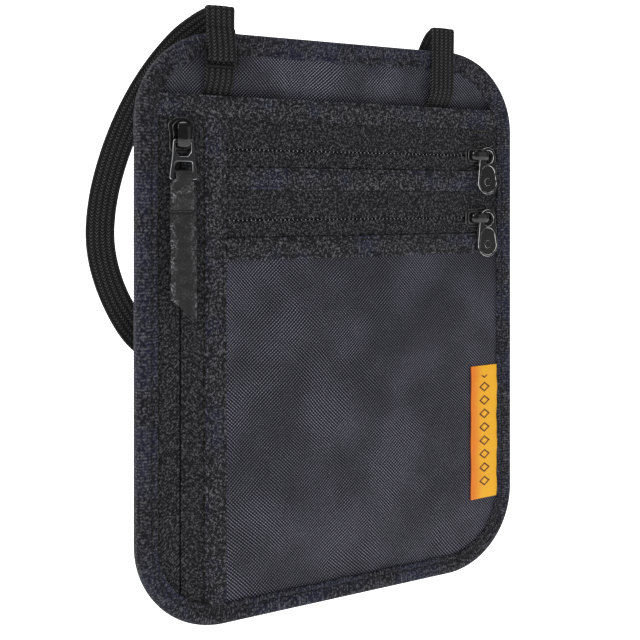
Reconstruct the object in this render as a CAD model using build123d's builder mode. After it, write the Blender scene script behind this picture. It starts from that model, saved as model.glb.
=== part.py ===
"""Neck pouch wallet: a flat zipped travel pouch that hangs on a webbing strap.

Frame, in millimetres: X to the right, Y to the back, Z up, seen by someone who faces the pouch.
The origin is on the pouch's centre line, at the height of the two creases where the neck strap
folds over whatever the pouch hangs on. A depth is a Y value: the front of the pouch is at -Y.
Heights in the driving dimensions are counted from the middle of the pouch.
"""

import os
from math import radians, tan

from build123d import *

# ---- Outline of the pouch -------------------------------------------------------------------
WIDTH = 152.0
HEIGHT = 198.0
CORNER = 30.0
STRAP_RISE = 8.5  # from the pouch's top edge up to the strap's creases
CENTRE_Z = -STRAP_RISE - HEIGHT / 2

# ---- Depths of the layers, from the front to the back ---------------------------------------
LIP_FRONT = (-2.5, -2.0)
STRIP = (-1.95, -1.6)
ZIP_TAPE = (-1.55, -1.15)
COIL = (-1.1, -0.55)
SLIDER_BACK_PLATE = (-0.45, -0.05)
LOWER_DIVIDER = (0.0, 0.1)
ZIP_DIVIDER = (0.15, 0.25)
ORGANISER_LINING = (0.3, 0.4)
SLIP_POCKET = (0.45, 1.45)  # the gap that the strap's ends are sewn into
POCKET_BACK = (1.55, 1.8)
RFID_LINER = (1.85, 1.95)
BACK_PANEL = (2.0, 2.3)
LIP_BACK = (2.35, 2.85)

# ---- Edge binding and stitching -------------------------------------------------------------
BINDING_WIDTH = 7.0
BINDING_WALL = 0.6
LAYER_INSET = 0.8  # the layers end this far inside the outline
LINER_INSET = 3.0
THREAD_WIDTH = 0.4
THREAD_RISE = 0.2
BINDING_STITCH_INSET = 5.0
STRIP_STITCH_MARGIN = 1.2

# ---- Front organiser ------------------------------------------------------------------------
ORGANISER_TOP = 77.7
STRIP_WIDTH = 7.5
ZIP_SHOW = 16.4  # zip tape seen between two strips
ROW_PITCH = STRIP_WIDTH + ZIP_SHOW
TOP_STRIP_Z = ORGANISER_TOP - STRIP_WIDTH / 2
MIDDLE_STRIP_Z = TOP_STRIP_Z - ROW_PITCH
LOWER_STRIP_Z = MIDDLE_STRIP_Z - ROW_PITCH
ZIP_LINE_RISE = 6.1  # a zip's slit above the strip that is under it
UPPER_ZIP_Z = MIDDLE_STRIP_Z + STRIP_WIDTH / 2 + ZIP_LINE_RISE
LOWER_ZIP_Z = LOWER_STRIP_Z + STRIP_WIDTH / 2 + ZIP_LINE_RISE
SIDE_STRIP_X = -48.65
SIDE_ZIP_X = -61.1
SEAM_GAP = 0.1

# ---- Zips: lengths run along the zip, heights stand out of the pouch's front -----------------
SLIT = 0.6
COIL_WIDTH = 1.4
ROW_CHAIN = (-42.0, 64.5)
SIDE_CHAIN = (-86.0, 71.5)
PLATE_FOOT = 1.75
PLATE_THICK = 0.75
PLATE_TOP = PLATE_FOOT + PLATE_THICK
FLANGE_OFFSET = 3.15
POST_LENGTH = 2.4
POST_WIDTH = 0.44
BRIDGE_LEG = 1.5
BRIDGE_CLEAR = 4.85
BRIDGE_TOP = 5.75
ROW_SLIDER_X = 59.2
SIDE_SLIDER_Z = 64.2


class SliderSize:
    """The lengths and widths of one size of slider and of its bridge."""

    def __init__(self, length, head_width, tail_width, bridge_length, bridge_width):
        self.length = length
        self.head_width = head_width
        self.tail_width = tail_width
        self.bridge_length = bridge_length
        self.bridge_width = bridge_width


ROW_SLIDER = SliderSize(10.8, 8.0, 7.0, 8.8, 3.6)
SIDE_SLIDER = SliderSize(11.4, 9.4, 8.0, 9.6, 4.6)

# ---- Pulls ----------------------------------------------------------------------------------
PULL_DEPTH = -4.1  # the plane in which the side zip's link and leather hang
LINK_THICK = 1.0
LINK_PIVOT_Z = SIDE_SLIDER_Z - SIDE_SLIDER.bridge_length / 2 + BRIDGE_LEG + 1.15
LINK_BAR = 1.1
LINK_LOWER_BAR = 1.2
LINK_LENGTH = 13.1
LINK_WAIST_DROP = 5.0
LINK_HALF_WIDTHS = (3.5, 3.8, 4.9)  # at the top, at the waist and at the bottom
LINK_WINDOW = 4.6
LINK_CLEAR = 0.35  # between each side of the bridge and the window it passes through
LEATHER_PIVOT_Z = LINK_PIVOT_Z - 11.85
LEATHER_THICK = 1.8
LEATHER_WIDTH = 9.2
LEATHER_NECK = 5.4
LEATHER_BOTTOM = 2.6
LEATHER_STITCH_Z = 39.1
ROW_PULL = (-4.5, -3.3)
ROW_RING_DROP = 0.6
ROW_RING_RADIUS = 3.8
ROW_RING_HOLE = 2.6
ROW_PULL_DROP = 10.2
ROW_PULL_RADIUS = 4.7

# ---- Label ----------------------------------------------------------------------------------
LABEL_X = (55.6, 74.0)
LABEL_Z = (-72.4, -21.2)

# ---- Neck strap -----------------------------------------------------------------------------
STRAP_WIDTH = 10.0
STRAP_THICK = 1.0
STRAP_LEFT_X = -47.6
STRAP_RIGHT_X = 42.6
ADJUSTER_Z = 90.2
ADJUSTER_WIDTH = 12.4
ADJUSTER_HEIGHT = 6.6
HANK_CENTRE = (-5.0, 4.0)
HANK_DEPTH = (9.0, 19.0)
HANK_RADII = (45.8, 56.6)

# Hand-set points of the strap's route. The front run is depth and height, the two runs behind
# the pouch are sideways, depth and height.
FRONT_RUN = [
    (0.95, 64.0),
    (0.95, 78.9),
    (-4.4, 82.6),
    (-4.4, 107.0),
    (-2.9, 107.0),
    (-1.6, 106.6),
]
LEFT_RUN = [
    (STRAP_LEFT_X, -1.6, 106.6),
    (STRAP_LEFT_X, 0.9, 105.83),
    (-50.3, 4.8, 102.9),
    (-57.0, 10.4, 96.4),
    (-64.6, 16.4, 85.4),
    (-70.9, 21.2, 72.4),
    (-75.9, 24.8, 57.6),
    (-79.3, 27.0, 42.0),
    (-80.0, 27.6, 26.6),
    (-76.2, 26.6, 11.4),
    (-69.4, 24.2, -2.0),
    (-60.4, 19.8, -15.2),
    (-51.4, 15.6, -27.3),
]
RIGHT_RUN = [
    (STRAP_RIGHT_X, -1.6, 106.6),
    (STRAP_RIGHT_X, 0.9, 105.83),
    (42.8, 4.8, 102.4),
    (42.7, 9.8, 95.0),
    (42.1, 14.4, 83.5),
    (40.7, 18.8, 69.0),
    (39.2, 21.4, 57.5),
    (37.5, 22.8, 46.0),
    (34.6, 24.2, 28.5),
    (30.0, 24.2, 11.0),
    (23.0, 23.0, -5.0),
    (13.2, 20.6, -19.5),
    (0.6, 17.6, -31.0),
    (-10.6, 15.8, -37.0),
]


def save(shape, label):
    shape.label = label
    export_step(shape, f"parts/{label}.step")


def thickness(depths):
    return depths[1] - depths[0]


def slab_plane(depths):
    """The plane at the back of a layer: drawn in X and Z, and extruded to the front."""
    return Plane.XZ.offset(-depths[1])


def outline(inset, mode=Mode.ADD):
    """The pouch's rounded outline, drawn in by an inset."""
    with Locations((0, CENTRE_Z)):
        RectangleRounded(WIDTH - 2 * inset, HEIGHT - 2 * inset, CORNER - inset, mode=mode)


def patch(x_span, z_span, mode=Mode.ADD):
    """A rectangle from one side to another and from one height to another."""
    with Locations(((x_span[0] + x_span[1]) / 2, (z_span[0] + z_span[1]) / 2 + CENTRE_Z)):
        Rectangle(x_span[1] - x_span[0], z_span[1] - z_span[0], mode=mode)


# ---- Fabric layers --------------------------------------------------------------------------
WHOLE_WIDTH = (-WIDTH, WIDTH)
WHOLE_HEIGHT = (-HEIGHT, HEIGHT)


def make_layer(label, depths, x_span=WHOLE_WIDTH, z_span=WHOLE_HEIGHT, inset=LAYER_INSET):
    """A flat layer: the pouch's outline, cut to two sides and two heights."""
    with BuildPart() as layer:
        with BuildSketch(slab_plane(depths)):
            outline(inset)
            patch(x_span, z_span, mode=Mode.INTERSECT)
        extrude(amount=thickness(depths))
    save(layer.part, label)


def make_rear_layers():
    make_layer("back_panel", BACK_PANEL)
    make_layer("rfid_liner", RFID_LINER, inset=LINER_INSET)
    make_layer("pocket_back_panel", POCKET_BACK)


def make_organiser_layers():
    beside_seam = (SIDE_STRIP_X + SEAM_GAP, WIDTH)
    below_top = (-HEIGHT, ORGANISER_TOP)
    make_layer("organiser_lining", ORGANISER_LINING, z_span=below_top)
    make_layer("zip_divider", ZIP_DIVIDER, beside_seam, below_top)
    make_layer("lower_divider", LOWER_DIVIDER, beside_seam, (-HEIGHT, MIDDLE_STRIP_Z))
    make_layer("front_panel", ZIP_TAPE, beside_seam, (-HEIGHT, LOWER_STRIP_Z - SEAM_GAP))


def make_strips():
    """The flat tapes sewn over the seams between the zips and the panels."""
    half = STRIP_WIDTH / 2
    beside_strip = (SIDE_STRIP_X + half + SEAM_GAP, WIDTH)
    for label, middle, x_span in (
        ("top_strip", TOP_STRIP_Z, WHOLE_WIDTH),
        ("middle_strip", MIDDLE_STRIP_Z, beside_strip),
        ("lower_strip", LOWER_STRIP_Z, beside_strip),
    ):
        make_layer(label, STRIP, x_span, (middle - half, middle + half))
    below_top_strip = (-HEIGHT, TOP_STRIP_Z - half - SEAM_GAP)
    make_layer("side_strip", STRIP, (SIDE_STRIP_X - half, SIDE_STRIP_X + half), below_top_strip)


def make_strip_stitching():
    """Two rows of thread along each strip, as bars that stand on it."""
    reach = STRIP_WIDTH / 2 - STRIP_STITCH_MARGIN
    half_thread = THREAD_WIDTH / 2
    beside_strip = (SIDE_STRIP_X + STRIP_WIDTH / 2 + 1.0, WIDTH)
    below_top_strip = (-HEIGHT, TOP_STRIP_Z - STRIP_WIDTH / 2 - 1.0)
    with BuildPart() as stitching:
        with BuildSketch(slab_plane((STRIP[0] - THREAD_RISE, STRIP[0]))):
            for side in (-1, 1):
                for middle, x_span in (
                    (TOP_STRIP_Z, WHOLE_WIDTH),
                    (MIDDLE_STRIP_Z, beside_strip),
                    (LOWER_STRIP_Z, beside_strip),
                ):
                    row = middle + side * reach
                    patch(x_span, (row - half_thread, row + half_thread))
                column = SIDE_STRIP_X + side * reach
                patch((column - half_thread, column + half_thread), below_top_strip)
            outline(BINDING_WIDTH + 0.3, mode=Mode.INTERSECT)
        extrude(amount=THREAD_RISE)
    save(stitching.part, "strip_stitching")


def make_label():
    """The woven side label, whose right edge is sewn in under the binding."""
    with BuildPart() as label:
        with BuildSketch(slab_plane((STRIP[0] + 0.05, STRIP[1]))):
            patch(LABEL_X, LABEL_Z)
        extrude(amount=thickness(STRIP) - 0.05)
    save(label.part, "side_label")


# ---- Edge binding ---------------------------------------------------------------------------
def make_binding():
    """A tape folded over the edge: two lips, front and back, and the wall between them."""
    with BuildPart() as binding:
        with BuildSketch(slab_plane((LIP_FRONT[0], LIP_BACK[1]))):
            outline(0)
            outline(BINDING_WIDTH, mode=Mode.SUBTRACT)
        extrude(amount=LIP_BACK[1] - LIP_FRONT[0])
        with BuildSketch(slab_plane((LIP_FRONT[1], LIP_BACK[0]))):
            outline(BINDING_WALL)
        extrude(amount=LIP_BACK[0] - LIP_FRONT[1], mode=Mode.SUBTRACT)
    save(binding.part, "edge_binding")


def make_binding_stitching():
    with BuildPart() as stitching:
        with BuildSketch(slab_plane((LIP_FRONT[0] - THREAD_RISE, LIP_FRONT[0]))):
            outline(BINDING_STITCH_INSET)
            outline(BINDING_STITCH_INSET + THREAD_WIDTH, mode=Mode.SUBTRACT)
        extrude(amount=THREAD_RISE)
    save(stitching.part, "binding_stitching")


# ---- Zips -----------------------------------------------------------------------------------
def make_zip_tapes():
    half_slit = SLIT / 2
    top = ORGANISER_TOP - 0.8
    beside_seam = (SIDE_STRIP_X + SEAM_GAP, WIDTH)
    for label, x_span, z_span in (
        ("upper_zip_tape_above", beside_seam, (UPPER_ZIP_Z + half_slit, top)),
        ("upper_zip_tape_below", beside_seam, (MIDDLE_STRIP_Z + SEAM_GAP, UPPER_ZIP_Z - half_slit)),
        ("lower_zip_tape_above", beside_seam, (LOWER_ZIP_Z + half_slit, MIDDLE_STRIP_Z - SEAM_GAP)),
        ("lower_zip_tape_below", beside_seam, (LOWER_STRIP_Z + SEAM_GAP, LOWER_ZIP_Z - half_slit)),
        ("side_zip_tape_left", (-WIDTH, SIDE_ZIP_X - half_slit), (-HEIGHT, top)),
        ("side_zip_tape_right", (SIDE_ZIP_X + half_slit, SIDE_STRIP_X - SEAM_GAP), (-HEIGHT, top)),
    ):
        make_layer(label, ZIP_TAPE, x_span, z_span)


def front_plane(x, z, closing):
    """A zip's plane: its X runs to the closed end, and its Z out of the pouch's front."""
    return Plane(origin=(x, 0, z + CENTRE_Z), x_dir=closing, z_dir=(0, -1, 0))


def profile_plane(plane):
    """The plane along a zip's length and out of the front, for shapes seen from the side."""
    return Plane(origin=plane.origin, x_dir=plane.x_dir, z_dir=plane.x_dir.cross(plane.z_dir))


def make_chain(name, plane, open_end, closed_end, side_names):
    """The two coils behind a zip's slit, the stop at its open end and the closed end's stops."""
    coil_plane = plane.offset(-COIL[1])
    offset = SLIT / 2 + COIL_WIDTH / 2
    for side, side_name in zip((1, -1), side_names):
        with BuildPart() as coil:
            with BuildSketch(coil_plane):
                with Locations(((open_end + closed_end) / 2, side * offset)):
                    Rectangle(closed_end - open_end, COIL_WIDTH)
            extrude(amount=thickness(COIL))
            fillet(coil.faces().sort_by(Axis.Y)[-1].edges(), 0.2)
        save(coil.part, f"{name}_coil_{side_name}")
    with BuildPart() as end_stop:
        with BuildSketch(coil_plane):
            with Locations((open_end - 1.2, 0)):
                RectangleRounded(1.8, 2 * offset + COIL_WIDTH, 0.3)
        extrude(amount=thickness(COIL))
    save(end_stop.part, f"{name}_end_stop")
    with BuildPart() as top_stops:
        with BuildSketch(coil_plane):
            with Locations((closed_end + 0.9, offset), (closed_end + 0.9, -offset)):
                RectangleRounded(1.3, COIL_WIDTH, 0.3)
        extrude(amount=thickness(COIL))
    save(top_stops.part, f"{name}_top_stops")


def slider_outline(size):
    """A slider's plate seen from the front: a shield, wider at its leading end."""
    half = size.length / 2
    tail = size.tail_width / 2
    head = size.head_width / 2
    with BuildLine() as edge:
        Polyline(
            (-half, -tail),
            (0, -tail),
            (half - 1.8, -head),
            (half, -1.6),
            (half, 1.6),
            (half - 1.8, head),
            (0, tail),
            (-half, tail),
            close=True,
        )
    make_face(edge.edges())
    fillet(vertices(), 0.6)


def make_slider(name, plane, size):
    """A cast slider: a plate each side of the tapes, a post between them, and back flanges."""
    back_foot = -SLIDER_BACK_PLATE[1]
    back_top = -SLIDER_BACK_PLATE[0]
    with BuildPart() as slider:
        with BuildSketch(plane.offset(PLATE_FOOT)):
            slider_outline(size)
        extrude(amount=PLATE_THICK)
        fillet(slider.faces().sort_by(Axis.Y)[0].edges(), 0.3)
        with BuildSketch(plane.offset(back_foot)):
            slider_outline(size)
        extrude(amount=thickness(SLIDER_BACK_PLATE))
        with BuildSketch(plane.offset(back_foot)):
            with Locations((size.length / 2 - 0.4 - POST_LENGTH / 2, 0)):
                RectangleRounded(POST_LENGTH, POST_WIDTH, 0.15)
        extrude(amount=PLATE_FOOT + 0.3 - back_foot)
        with BuildSketch(plane.offset(back_top - 0.1)):
            with Locations((-2.2, FLANGE_OFFSET), (-2.2, -FLANGE_OFFSET)):
                Rectangle(6.0, 0.6)
        extrude(amount=0.6)
    save(slider.part, f"{name}_slider")


def make_bridge(name, plane, size):
    """The domed bridge on a slider's front, which the pull hooks under."""
    half = size.bridge_length / 2
    inner = half - BRIDGE_LEG
    with BuildPart() as bridge:
        with BuildSketch(profile_plane(plane)):
            with BuildLine():
                Polyline(
                    (-half, PLATE_TOP),
                    (-half, BRIDGE_TOP - 1.6),
                    (-half + 2.0, BRIDGE_TOP),
                    (half - 2.0, BRIDGE_TOP),
                    (half, BRIDGE_TOP - 1.6),
                    (half, PLATE_TOP),
                    (inner, PLATE_TOP),
                    (inner, BRIDGE_CLEAR),
                    (-inner, BRIDGE_CLEAR),
                    (-inner, PLATE_TOP),
                    close=True,
                )
            make_face()
        extrude(amount=size.bridge_width / 2, both=True)
        fillet(bridge.faces().sort_by(Axis.Y)[0].edges(), 0.6)
    save(bridge.part, f"{name}_bridge")


# ---- Pulls ----------------------------------------------------------------------------------
def make_row_pull(name, zip_z):
    """A teardrop pull that hangs by its ring from the outer leg of its slider's bridge."""
    pivot_x = ROW_SLIDER_X + (ROW_SLIDER.bridge_length - BRIDGE_LEG) / 2
    pivot_z = zip_z + CENTRE_Z
    with BuildPart() as pull:
        with BuildSketch(slab_plane(ROW_PULL)):
            with Locations((pivot_x, pivot_z - ROW_RING_DROP)):
                Circle(ROW_RING_RADIUS)
            with Locations((pivot_x, pivot_z - ROW_PULL_DROP)):
                Circle(ROW_PULL_RADIUS)
            make_hull()
            with Locations((pivot_x, pivot_z - ROW_RING_DROP)):
                Circle(ROW_RING_HOLE, mode=Mode.SUBTRACT)
        extrude(amount=thickness(ROW_PULL))
        chamfer(pull.faces().sort_by(Axis.Y)[0].outer_wire().edges(), 0.3)
        with BuildSketch(slab_plane((ROW_PULL[0], ROW_PULL[0] + 0.25))):
            with Locations((pivot_x, pivot_z - ROW_PULL_DROP)):
                Circle(ROW_PULL_RADIUS - 1.1)
        extrude(amount=0.25, mode=Mode.SUBTRACT)
    save(pull.part, f"{name}_pull")


def make_pull_link():
    """The side zip's link: a flared plate with a window for the bridge and one for the leather."""
    top_plane = front_plane(SIDE_ZIP_X, LINK_PIVOT_Z + LINK_BAR / 2, (1, 0, 0))
    bar_drop = LINK_PIVOT_Z + LINK_BAR / 2 - LEATHER_PIVOT_Z
    top, waist, bottom = LINK_HALF_WIDTHS
    # Corners no rounder than the side gap clear the bridge however far the link swings.
    bridge_window = SIDE_SLIDER.bridge_width + 2 * LINK_CLEAR
    with BuildPart() as link:
        with BuildSketch(top_plane.offset(-PULL_DEPTH - LINK_THICK / 2)):
            with BuildLine():
                Polyline(
                    (-top, 0),
                    (top, 0),
                    (waist, -LINK_WAIST_DROP),
                    (bottom, -LINK_LENGTH),
                    (-bottom, -LINK_LENGTH),
                    (-waist, -LINK_WAIST_DROP),
                    close=True,
                )
            make_face()
            fillet(vertices(), 0.5)
            with Locations((0, -LINK_BAR - LINK_WINDOW / 2)):
                RectangleRounded(bridge_window, LINK_WINDOW, LINK_CLEAR, mode=Mode.SUBTRACT)
            with Locations((0, (LINK_LOWER_BAR + LINK_WINDOW) / 2 - bar_drop)):
                RectangleRounded(6.2, LINK_WINDOW, 0.8, mode=Mode.SUBTRACT)
        extrude(amount=LINK_THICK)
        chamfer(link.faces().sort_by(Axis.Y)[0].outer_wire().edges(), 0.25)
    save(link.part, "pull_link")


def make_leather_pull():
    """A leather strip folded round the link's lower bar and cut slantwise at its free end."""
    half_thick = LEATHER_THICK / 2
    half_width = LEATHER_WIDTH / 2
    bottom = LEATHER_BOTTOM - LEATHER_PIVOT_Z
    pivot_plane = front_plane(SIDE_ZIP_X, LEATHER_PIVOT_Z, (1, 0, 0))
    with BuildPart() as leather:
        with BuildSketch(Plane.YZ.offset(SIDE_ZIP_X)):
            with Locations((PULL_DEPTH, LEATHER_PIVOT_Z + CENTRE_Z)):
                Circle(half_thick)
            with Locations((PULL_DEPTH, LEATHER_PIVOT_Z - 2.5 + CENTRE_Z)):
                Rectangle(LEATHER_THICK, 5.0)
            with Locations((PULL_DEPTH, LEATHER_PIVOT_Z + CENTRE_Z)):
                Circle(0.9, mode=Mode.SUBTRACT)
        extrude(amount=LEATHER_NECK / 2, both=True)
        with BuildSketch(pivot_plane.offset(-PULL_DEPTH - half_thick)):
            with BuildLine():
                Polyline(
                    (-half_width, -2.0),
                    (half_width, -2.0),
                    (half_width, bottom),
                    (-half_width, bottom + 7.1),
                    close=True,
                )
            make_face()
            fillet(vertices(), 0.8)
        extrude(amount=LEATHER_THICK)
    save(leather.part, "pull_leather")


def make_leather_stitches():
    """A short row of stitches across the leather, on its front."""
    front = PULL_DEPTH - LEATHER_THICK / 2
    with BuildPart() as stitches:
        with BuildSketch(slab_plane((front - THREAD_RISE, front))):
            with Locations((SIDE_ZIP_X, LEATHER_STITCH_Z + CENTRE_Z)):
                with GridLocations(2.0, 0, 4, 1):
                    RectangleRounded(1.5, THREAD_WIDTH, 0.15)
        extrude(amount=THREAD_RISE)
    save(stitches.part, "pull_stitches")


# ---- Neck strap -----------------------------------------------------------------------------
def corner_radii(points):
    """For each corner, the largest arc that its two runs allow."""
    radii = []
    for before, corner, after in zip(points, points[1:], points[2:]):
        arriving = Vector(*corner) - Vector(*before)
        leaving = Vector(*after) - Vector(*corner)
        half_turn = radians(arriving.get_angle(leaving)) / 2
        radii.append(0.45 * min(arriving.length, leaving.length) / tan(half_turn))
    return radii


def make_strap_side(label, strap_x, back_run):
    """One side of the strap: out of the slip pocket, up the front, over its crease and back."""
    front = [(depth, height + CENTRE_Z) for depth, height in FRONT_RUN]
    back = [(x, depth, height + CENTRE_Z) for x, depth, height in back_run]
    front_radii = corner_radii([(0, depth, height) for depth, height in front])
    back_radii = corner_radii(back)
    with BuildPart() as strap:
        with BuildSketch(Plane.YZ.offset(strap_x)):
            with BuildLine():
                front_path = FilletPolyline(*front, radius=front_radii)
            trace(line_width=STRAP_THICK)
        extrude(amount=STRAP_WIDTH / 2, both=True)
        with BuildLine():
            back_path = FilletPolyline(*back, radius=back_radii)
        with BuildSketch(Plane(origin=back_path @ 0, x_dir=(1, 0, 0), z_dir=back_path % 0)):
            Rectangle(STRAP_WIDTH, STRAP_THICK)
        sweep(path=back_path)
    save(strap.part, label)
    length = front_path.length + back_path.length
    section = STRAP_WIDTH * STRAP_THICK
    print(f"{label}: length {length:.1f}, volume {strap.part.volume:.0f} for {section * length:.0f}")
    print(f"{label}: radii {[round(radius, 1) for radius in front_radii + back_radii]}")


def make_strap_hank():
    """The outer shape of the strap's spare turns, coiled behind the pouch, and their tie."""
    centre = (HANK_CENTRE[0], HANK_CENTRE[1] + CENTRE_Z)
    with BuildPart() as hank:
        with BuildSketch(slab_plane(HANK_DEPTH)):
            with Locations(centre):
                Circle(HANK_RADII[1])
                Circle(HANK_RADII[0], mode=Mode.SUBTRACT)
        extrude(amount=thickness(HANK_DEPTH))
    save(hank.part, "neck_strap_hank")
    band = sum(HANK_RADII) / 2
    with BuildPart() as tie:
        with BuildSketch(Plane.YZ.offset(HANK_CENTRE[0])):
            with Locations((sum(HANK_DEPTH) / 2, centre[1] + band)):
                RectangleRounded(thickness(HANK_DEPTH) + 2.0, thickness(HANK_RADII) + 2.6, 0.9)
                RectangleRounded(
                    thickness(HANK_DEPTH) + 0.4, thickness(HANK_RADII) + 1.0, 0.3,
                    mode=Mode.SUBTRACT,
                )
        extrude(amount=4.0, both=True)
    save(tie.part, "strap_tie")


def make_bartacks():
    """The dense stitches that hold the strap's two ends in the slip pocket."""
    with BuildPart() as bartacks:
        with BuildSketch(slab_plane((SLIP_POCKET[0] - 0.03, SLIP_POCKET[1] + 0.08))):
            with Locations((STRAP_LEFT_X, 66.0 + CENTRE_Z), (STRAP_RIGHT_X, 66.0 + CENTRE_Z)):
                RectangleRounded(8.0, 1.8, 0.4)
        extrude(amount=thickness(SLIP_POCKET) + 0.11)
    save(bartacks.part, "strap_bartacks")


def make_adjuster():
    """A three-bar adjuster: the strap runs behind its middle bar and before the outer two."""
    strap_depth = FRONT_RUN[3][0]
    front = (strap_depth - 1.5, strap_depth - 0.7)
    back = (strap_depth + 0.7, strap_depth + 1.4)
    centre = (STRAP_LEFT_X, ADJUSTER_Z + CENTRE_Z)
    side_bar = (ADJUSTER_WIDTH - STRAP_WIDTH - 0.8) / 2
    side_offset = (ADJUSTER_WIDTH - side_bar) / 2
    end_bar = 1.7
    end_offset = (ADJUSTER_HEIGHT - end_bar) / 2
    with BuildPart() as adjuster:
        with BuildSketch(slab_plane((front[0], back[1]))):
            with Locations(centre):
                with Locations((-side_offset, 0), (side_offset, 0)):
                    RectangleRounded(side_bar, ADJUSTER_HEIGHT, 0.3)
        extrude(amount=back[1] - front[0])
        with BuildSketch(slab_plane(front)):
            with Locations(centre):
                RectangleRounded(ADJUSTER_WIDTH - side_bar, 2.6, 0.5)
        extrude(amount=thickness(front))
        with BuildSketch(slab_plane(back)):
            with Locations(centre):
                with Locations((0, -end_offset), (0, end_offset)):
                    Rectangle(ADJUSTER_WIDTH - side_bar, end_bar)
        extrude(amount=thickness(back))
    save(adjuster.part, "strap_adjuster")


def main():
    os.makedirs("parts", exist_ok=True)
    make_rear_layers()
    make_organiser_layers()
    make_strips()
    make_strip_stitching()
    make_label()
    make_binding()
    make_binding_stitching()
    make_zip_tapes()
    for name, zip_z in (("upper_zip", UPPER_ZIP_Z), ("lower_zip", LOWER_ZIP_Z)):
        make_chain(name, front_plane(0, zip_z, (1, 0, 0)), *ROW_CHAIN, ("above", "below"))
        slider_plane = front_plane(ROW_SLIDER_X, zip_z, (1, 0, 0))
        make_slider(name, slider_plane, ROW_SLIDER)
        make_bridge(name, slider_plane, ROW_SLIDER)
        make_row_pull(name, zip_z)
    make_chain("side_zip", front_plane(SIDE_ZIP_X, 0, (0, 0, 1)), *SIDE_CHAIN, ("left", "right"))
    side_slider_plane = front_plane(SIDE_ZIP_X, SIDE_SLIDER_Z, (0, 0, 1))
    make_slider("side_zip", side_slider_plane, SIDE_SLIDER)
    make_bridge("side_zip", side_slider_plane, SIDE_SLIDER)
    make_pull_link()
    make_leather_pull()
    make_leather_stitches()
    make_strap_side("neck_strap_left", STRAP_LEFT_X, LEFT_RUN)
    make_strap_side("neck_strap_right", STRAP_RIGHT_X, RIGHT_RUN)
    make_strap_hank()
    make_bartacks()
    make_adjuster()


main()
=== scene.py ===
"""Neck pouch wallet: fabrics, webbing, zips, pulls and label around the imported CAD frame.

Frame in metres: X to the right, Y to the back, Z up, seen by someone who faces the pouch. The
origin is on the pouch's centre line, at the height of the creases in the neck strap.
"""

from math import ceil, cos, pi, radians, sin

import bmesh
import bpy
import numpy as np
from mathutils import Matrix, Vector


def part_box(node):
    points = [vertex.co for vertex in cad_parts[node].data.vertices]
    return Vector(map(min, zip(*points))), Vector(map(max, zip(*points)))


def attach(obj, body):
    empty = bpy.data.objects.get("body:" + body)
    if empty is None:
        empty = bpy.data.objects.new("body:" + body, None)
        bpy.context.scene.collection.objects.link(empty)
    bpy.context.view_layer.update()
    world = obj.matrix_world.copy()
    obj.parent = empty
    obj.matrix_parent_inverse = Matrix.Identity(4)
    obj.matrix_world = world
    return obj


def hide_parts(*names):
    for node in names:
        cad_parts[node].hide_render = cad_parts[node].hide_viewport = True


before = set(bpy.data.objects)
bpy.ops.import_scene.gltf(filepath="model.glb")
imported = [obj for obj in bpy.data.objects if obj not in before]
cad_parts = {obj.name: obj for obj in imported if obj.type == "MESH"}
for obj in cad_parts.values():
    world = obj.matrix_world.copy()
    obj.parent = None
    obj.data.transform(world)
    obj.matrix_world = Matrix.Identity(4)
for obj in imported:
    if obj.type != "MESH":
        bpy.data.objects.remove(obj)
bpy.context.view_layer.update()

MM = 0.001

# ---- Places read from the frame ---------------------------------------------------------------
BINDING_LOW, BINDING_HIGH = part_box("edge_binding")
HALF_WIDTH = (BINDING_HIGH.x - BINDING_LOW.x) / 2
HALF_HEIGHT = (BINDING_HIGH.z - BINDING_LOW.z) / 2
CENTRE_Z = (BINDING_HIGH.z + BINDING_LOW.z) / 2
CORNER = 30 * MM
BINDING_WIDTH = 7 * MM
ORGANISER_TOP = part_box("top_strip")[1].z
LOWER_STRIP_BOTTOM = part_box("lower_strip")[0].z
SIDE_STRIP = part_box("side_strip")
ROW_ZIPS = {
    name: (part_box(f"{name}_coil_above")[0].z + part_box(f"{name}_coil_below")[1].z) / 2
    for name in ("upper_zip", "lower_zip")
}
SIDE_ZIP_X = (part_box("side_zip_coil_left")[1].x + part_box("side_zip_coil_right")[0].x) / 2
PANEL_INSET = 0.8 * MM
STRIP_ROW = 2.55 * MM  # from a seam strip's middle to each of its rows of stitches
LEATHER_STITCH_Z = 39.1
LEATHER_BAND_Z = 46.2
LEATHER_PIVOT_RISE = 47.6  # from the leather's lowest point to the bar that it hangs from
LEATHER_SLANT = 7.1
LOZENGE_PITCH = 5.2
LOZENGE_X = 7.2
TAPE_PITCH = 0.42
WELD_DISTANCE = 1e-6
FACING_FRONT = ((1, 0, 0), (0, -1, 0), (0, 0, 1))
MATT_CLOTH = {"Sheen_Weight": 0.03, "Sheen_Roughness": 0.5, "Specular_IOR_Level": 0.12}
bpy.context.scene.view_settings.view_transform = "Standard"


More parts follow.
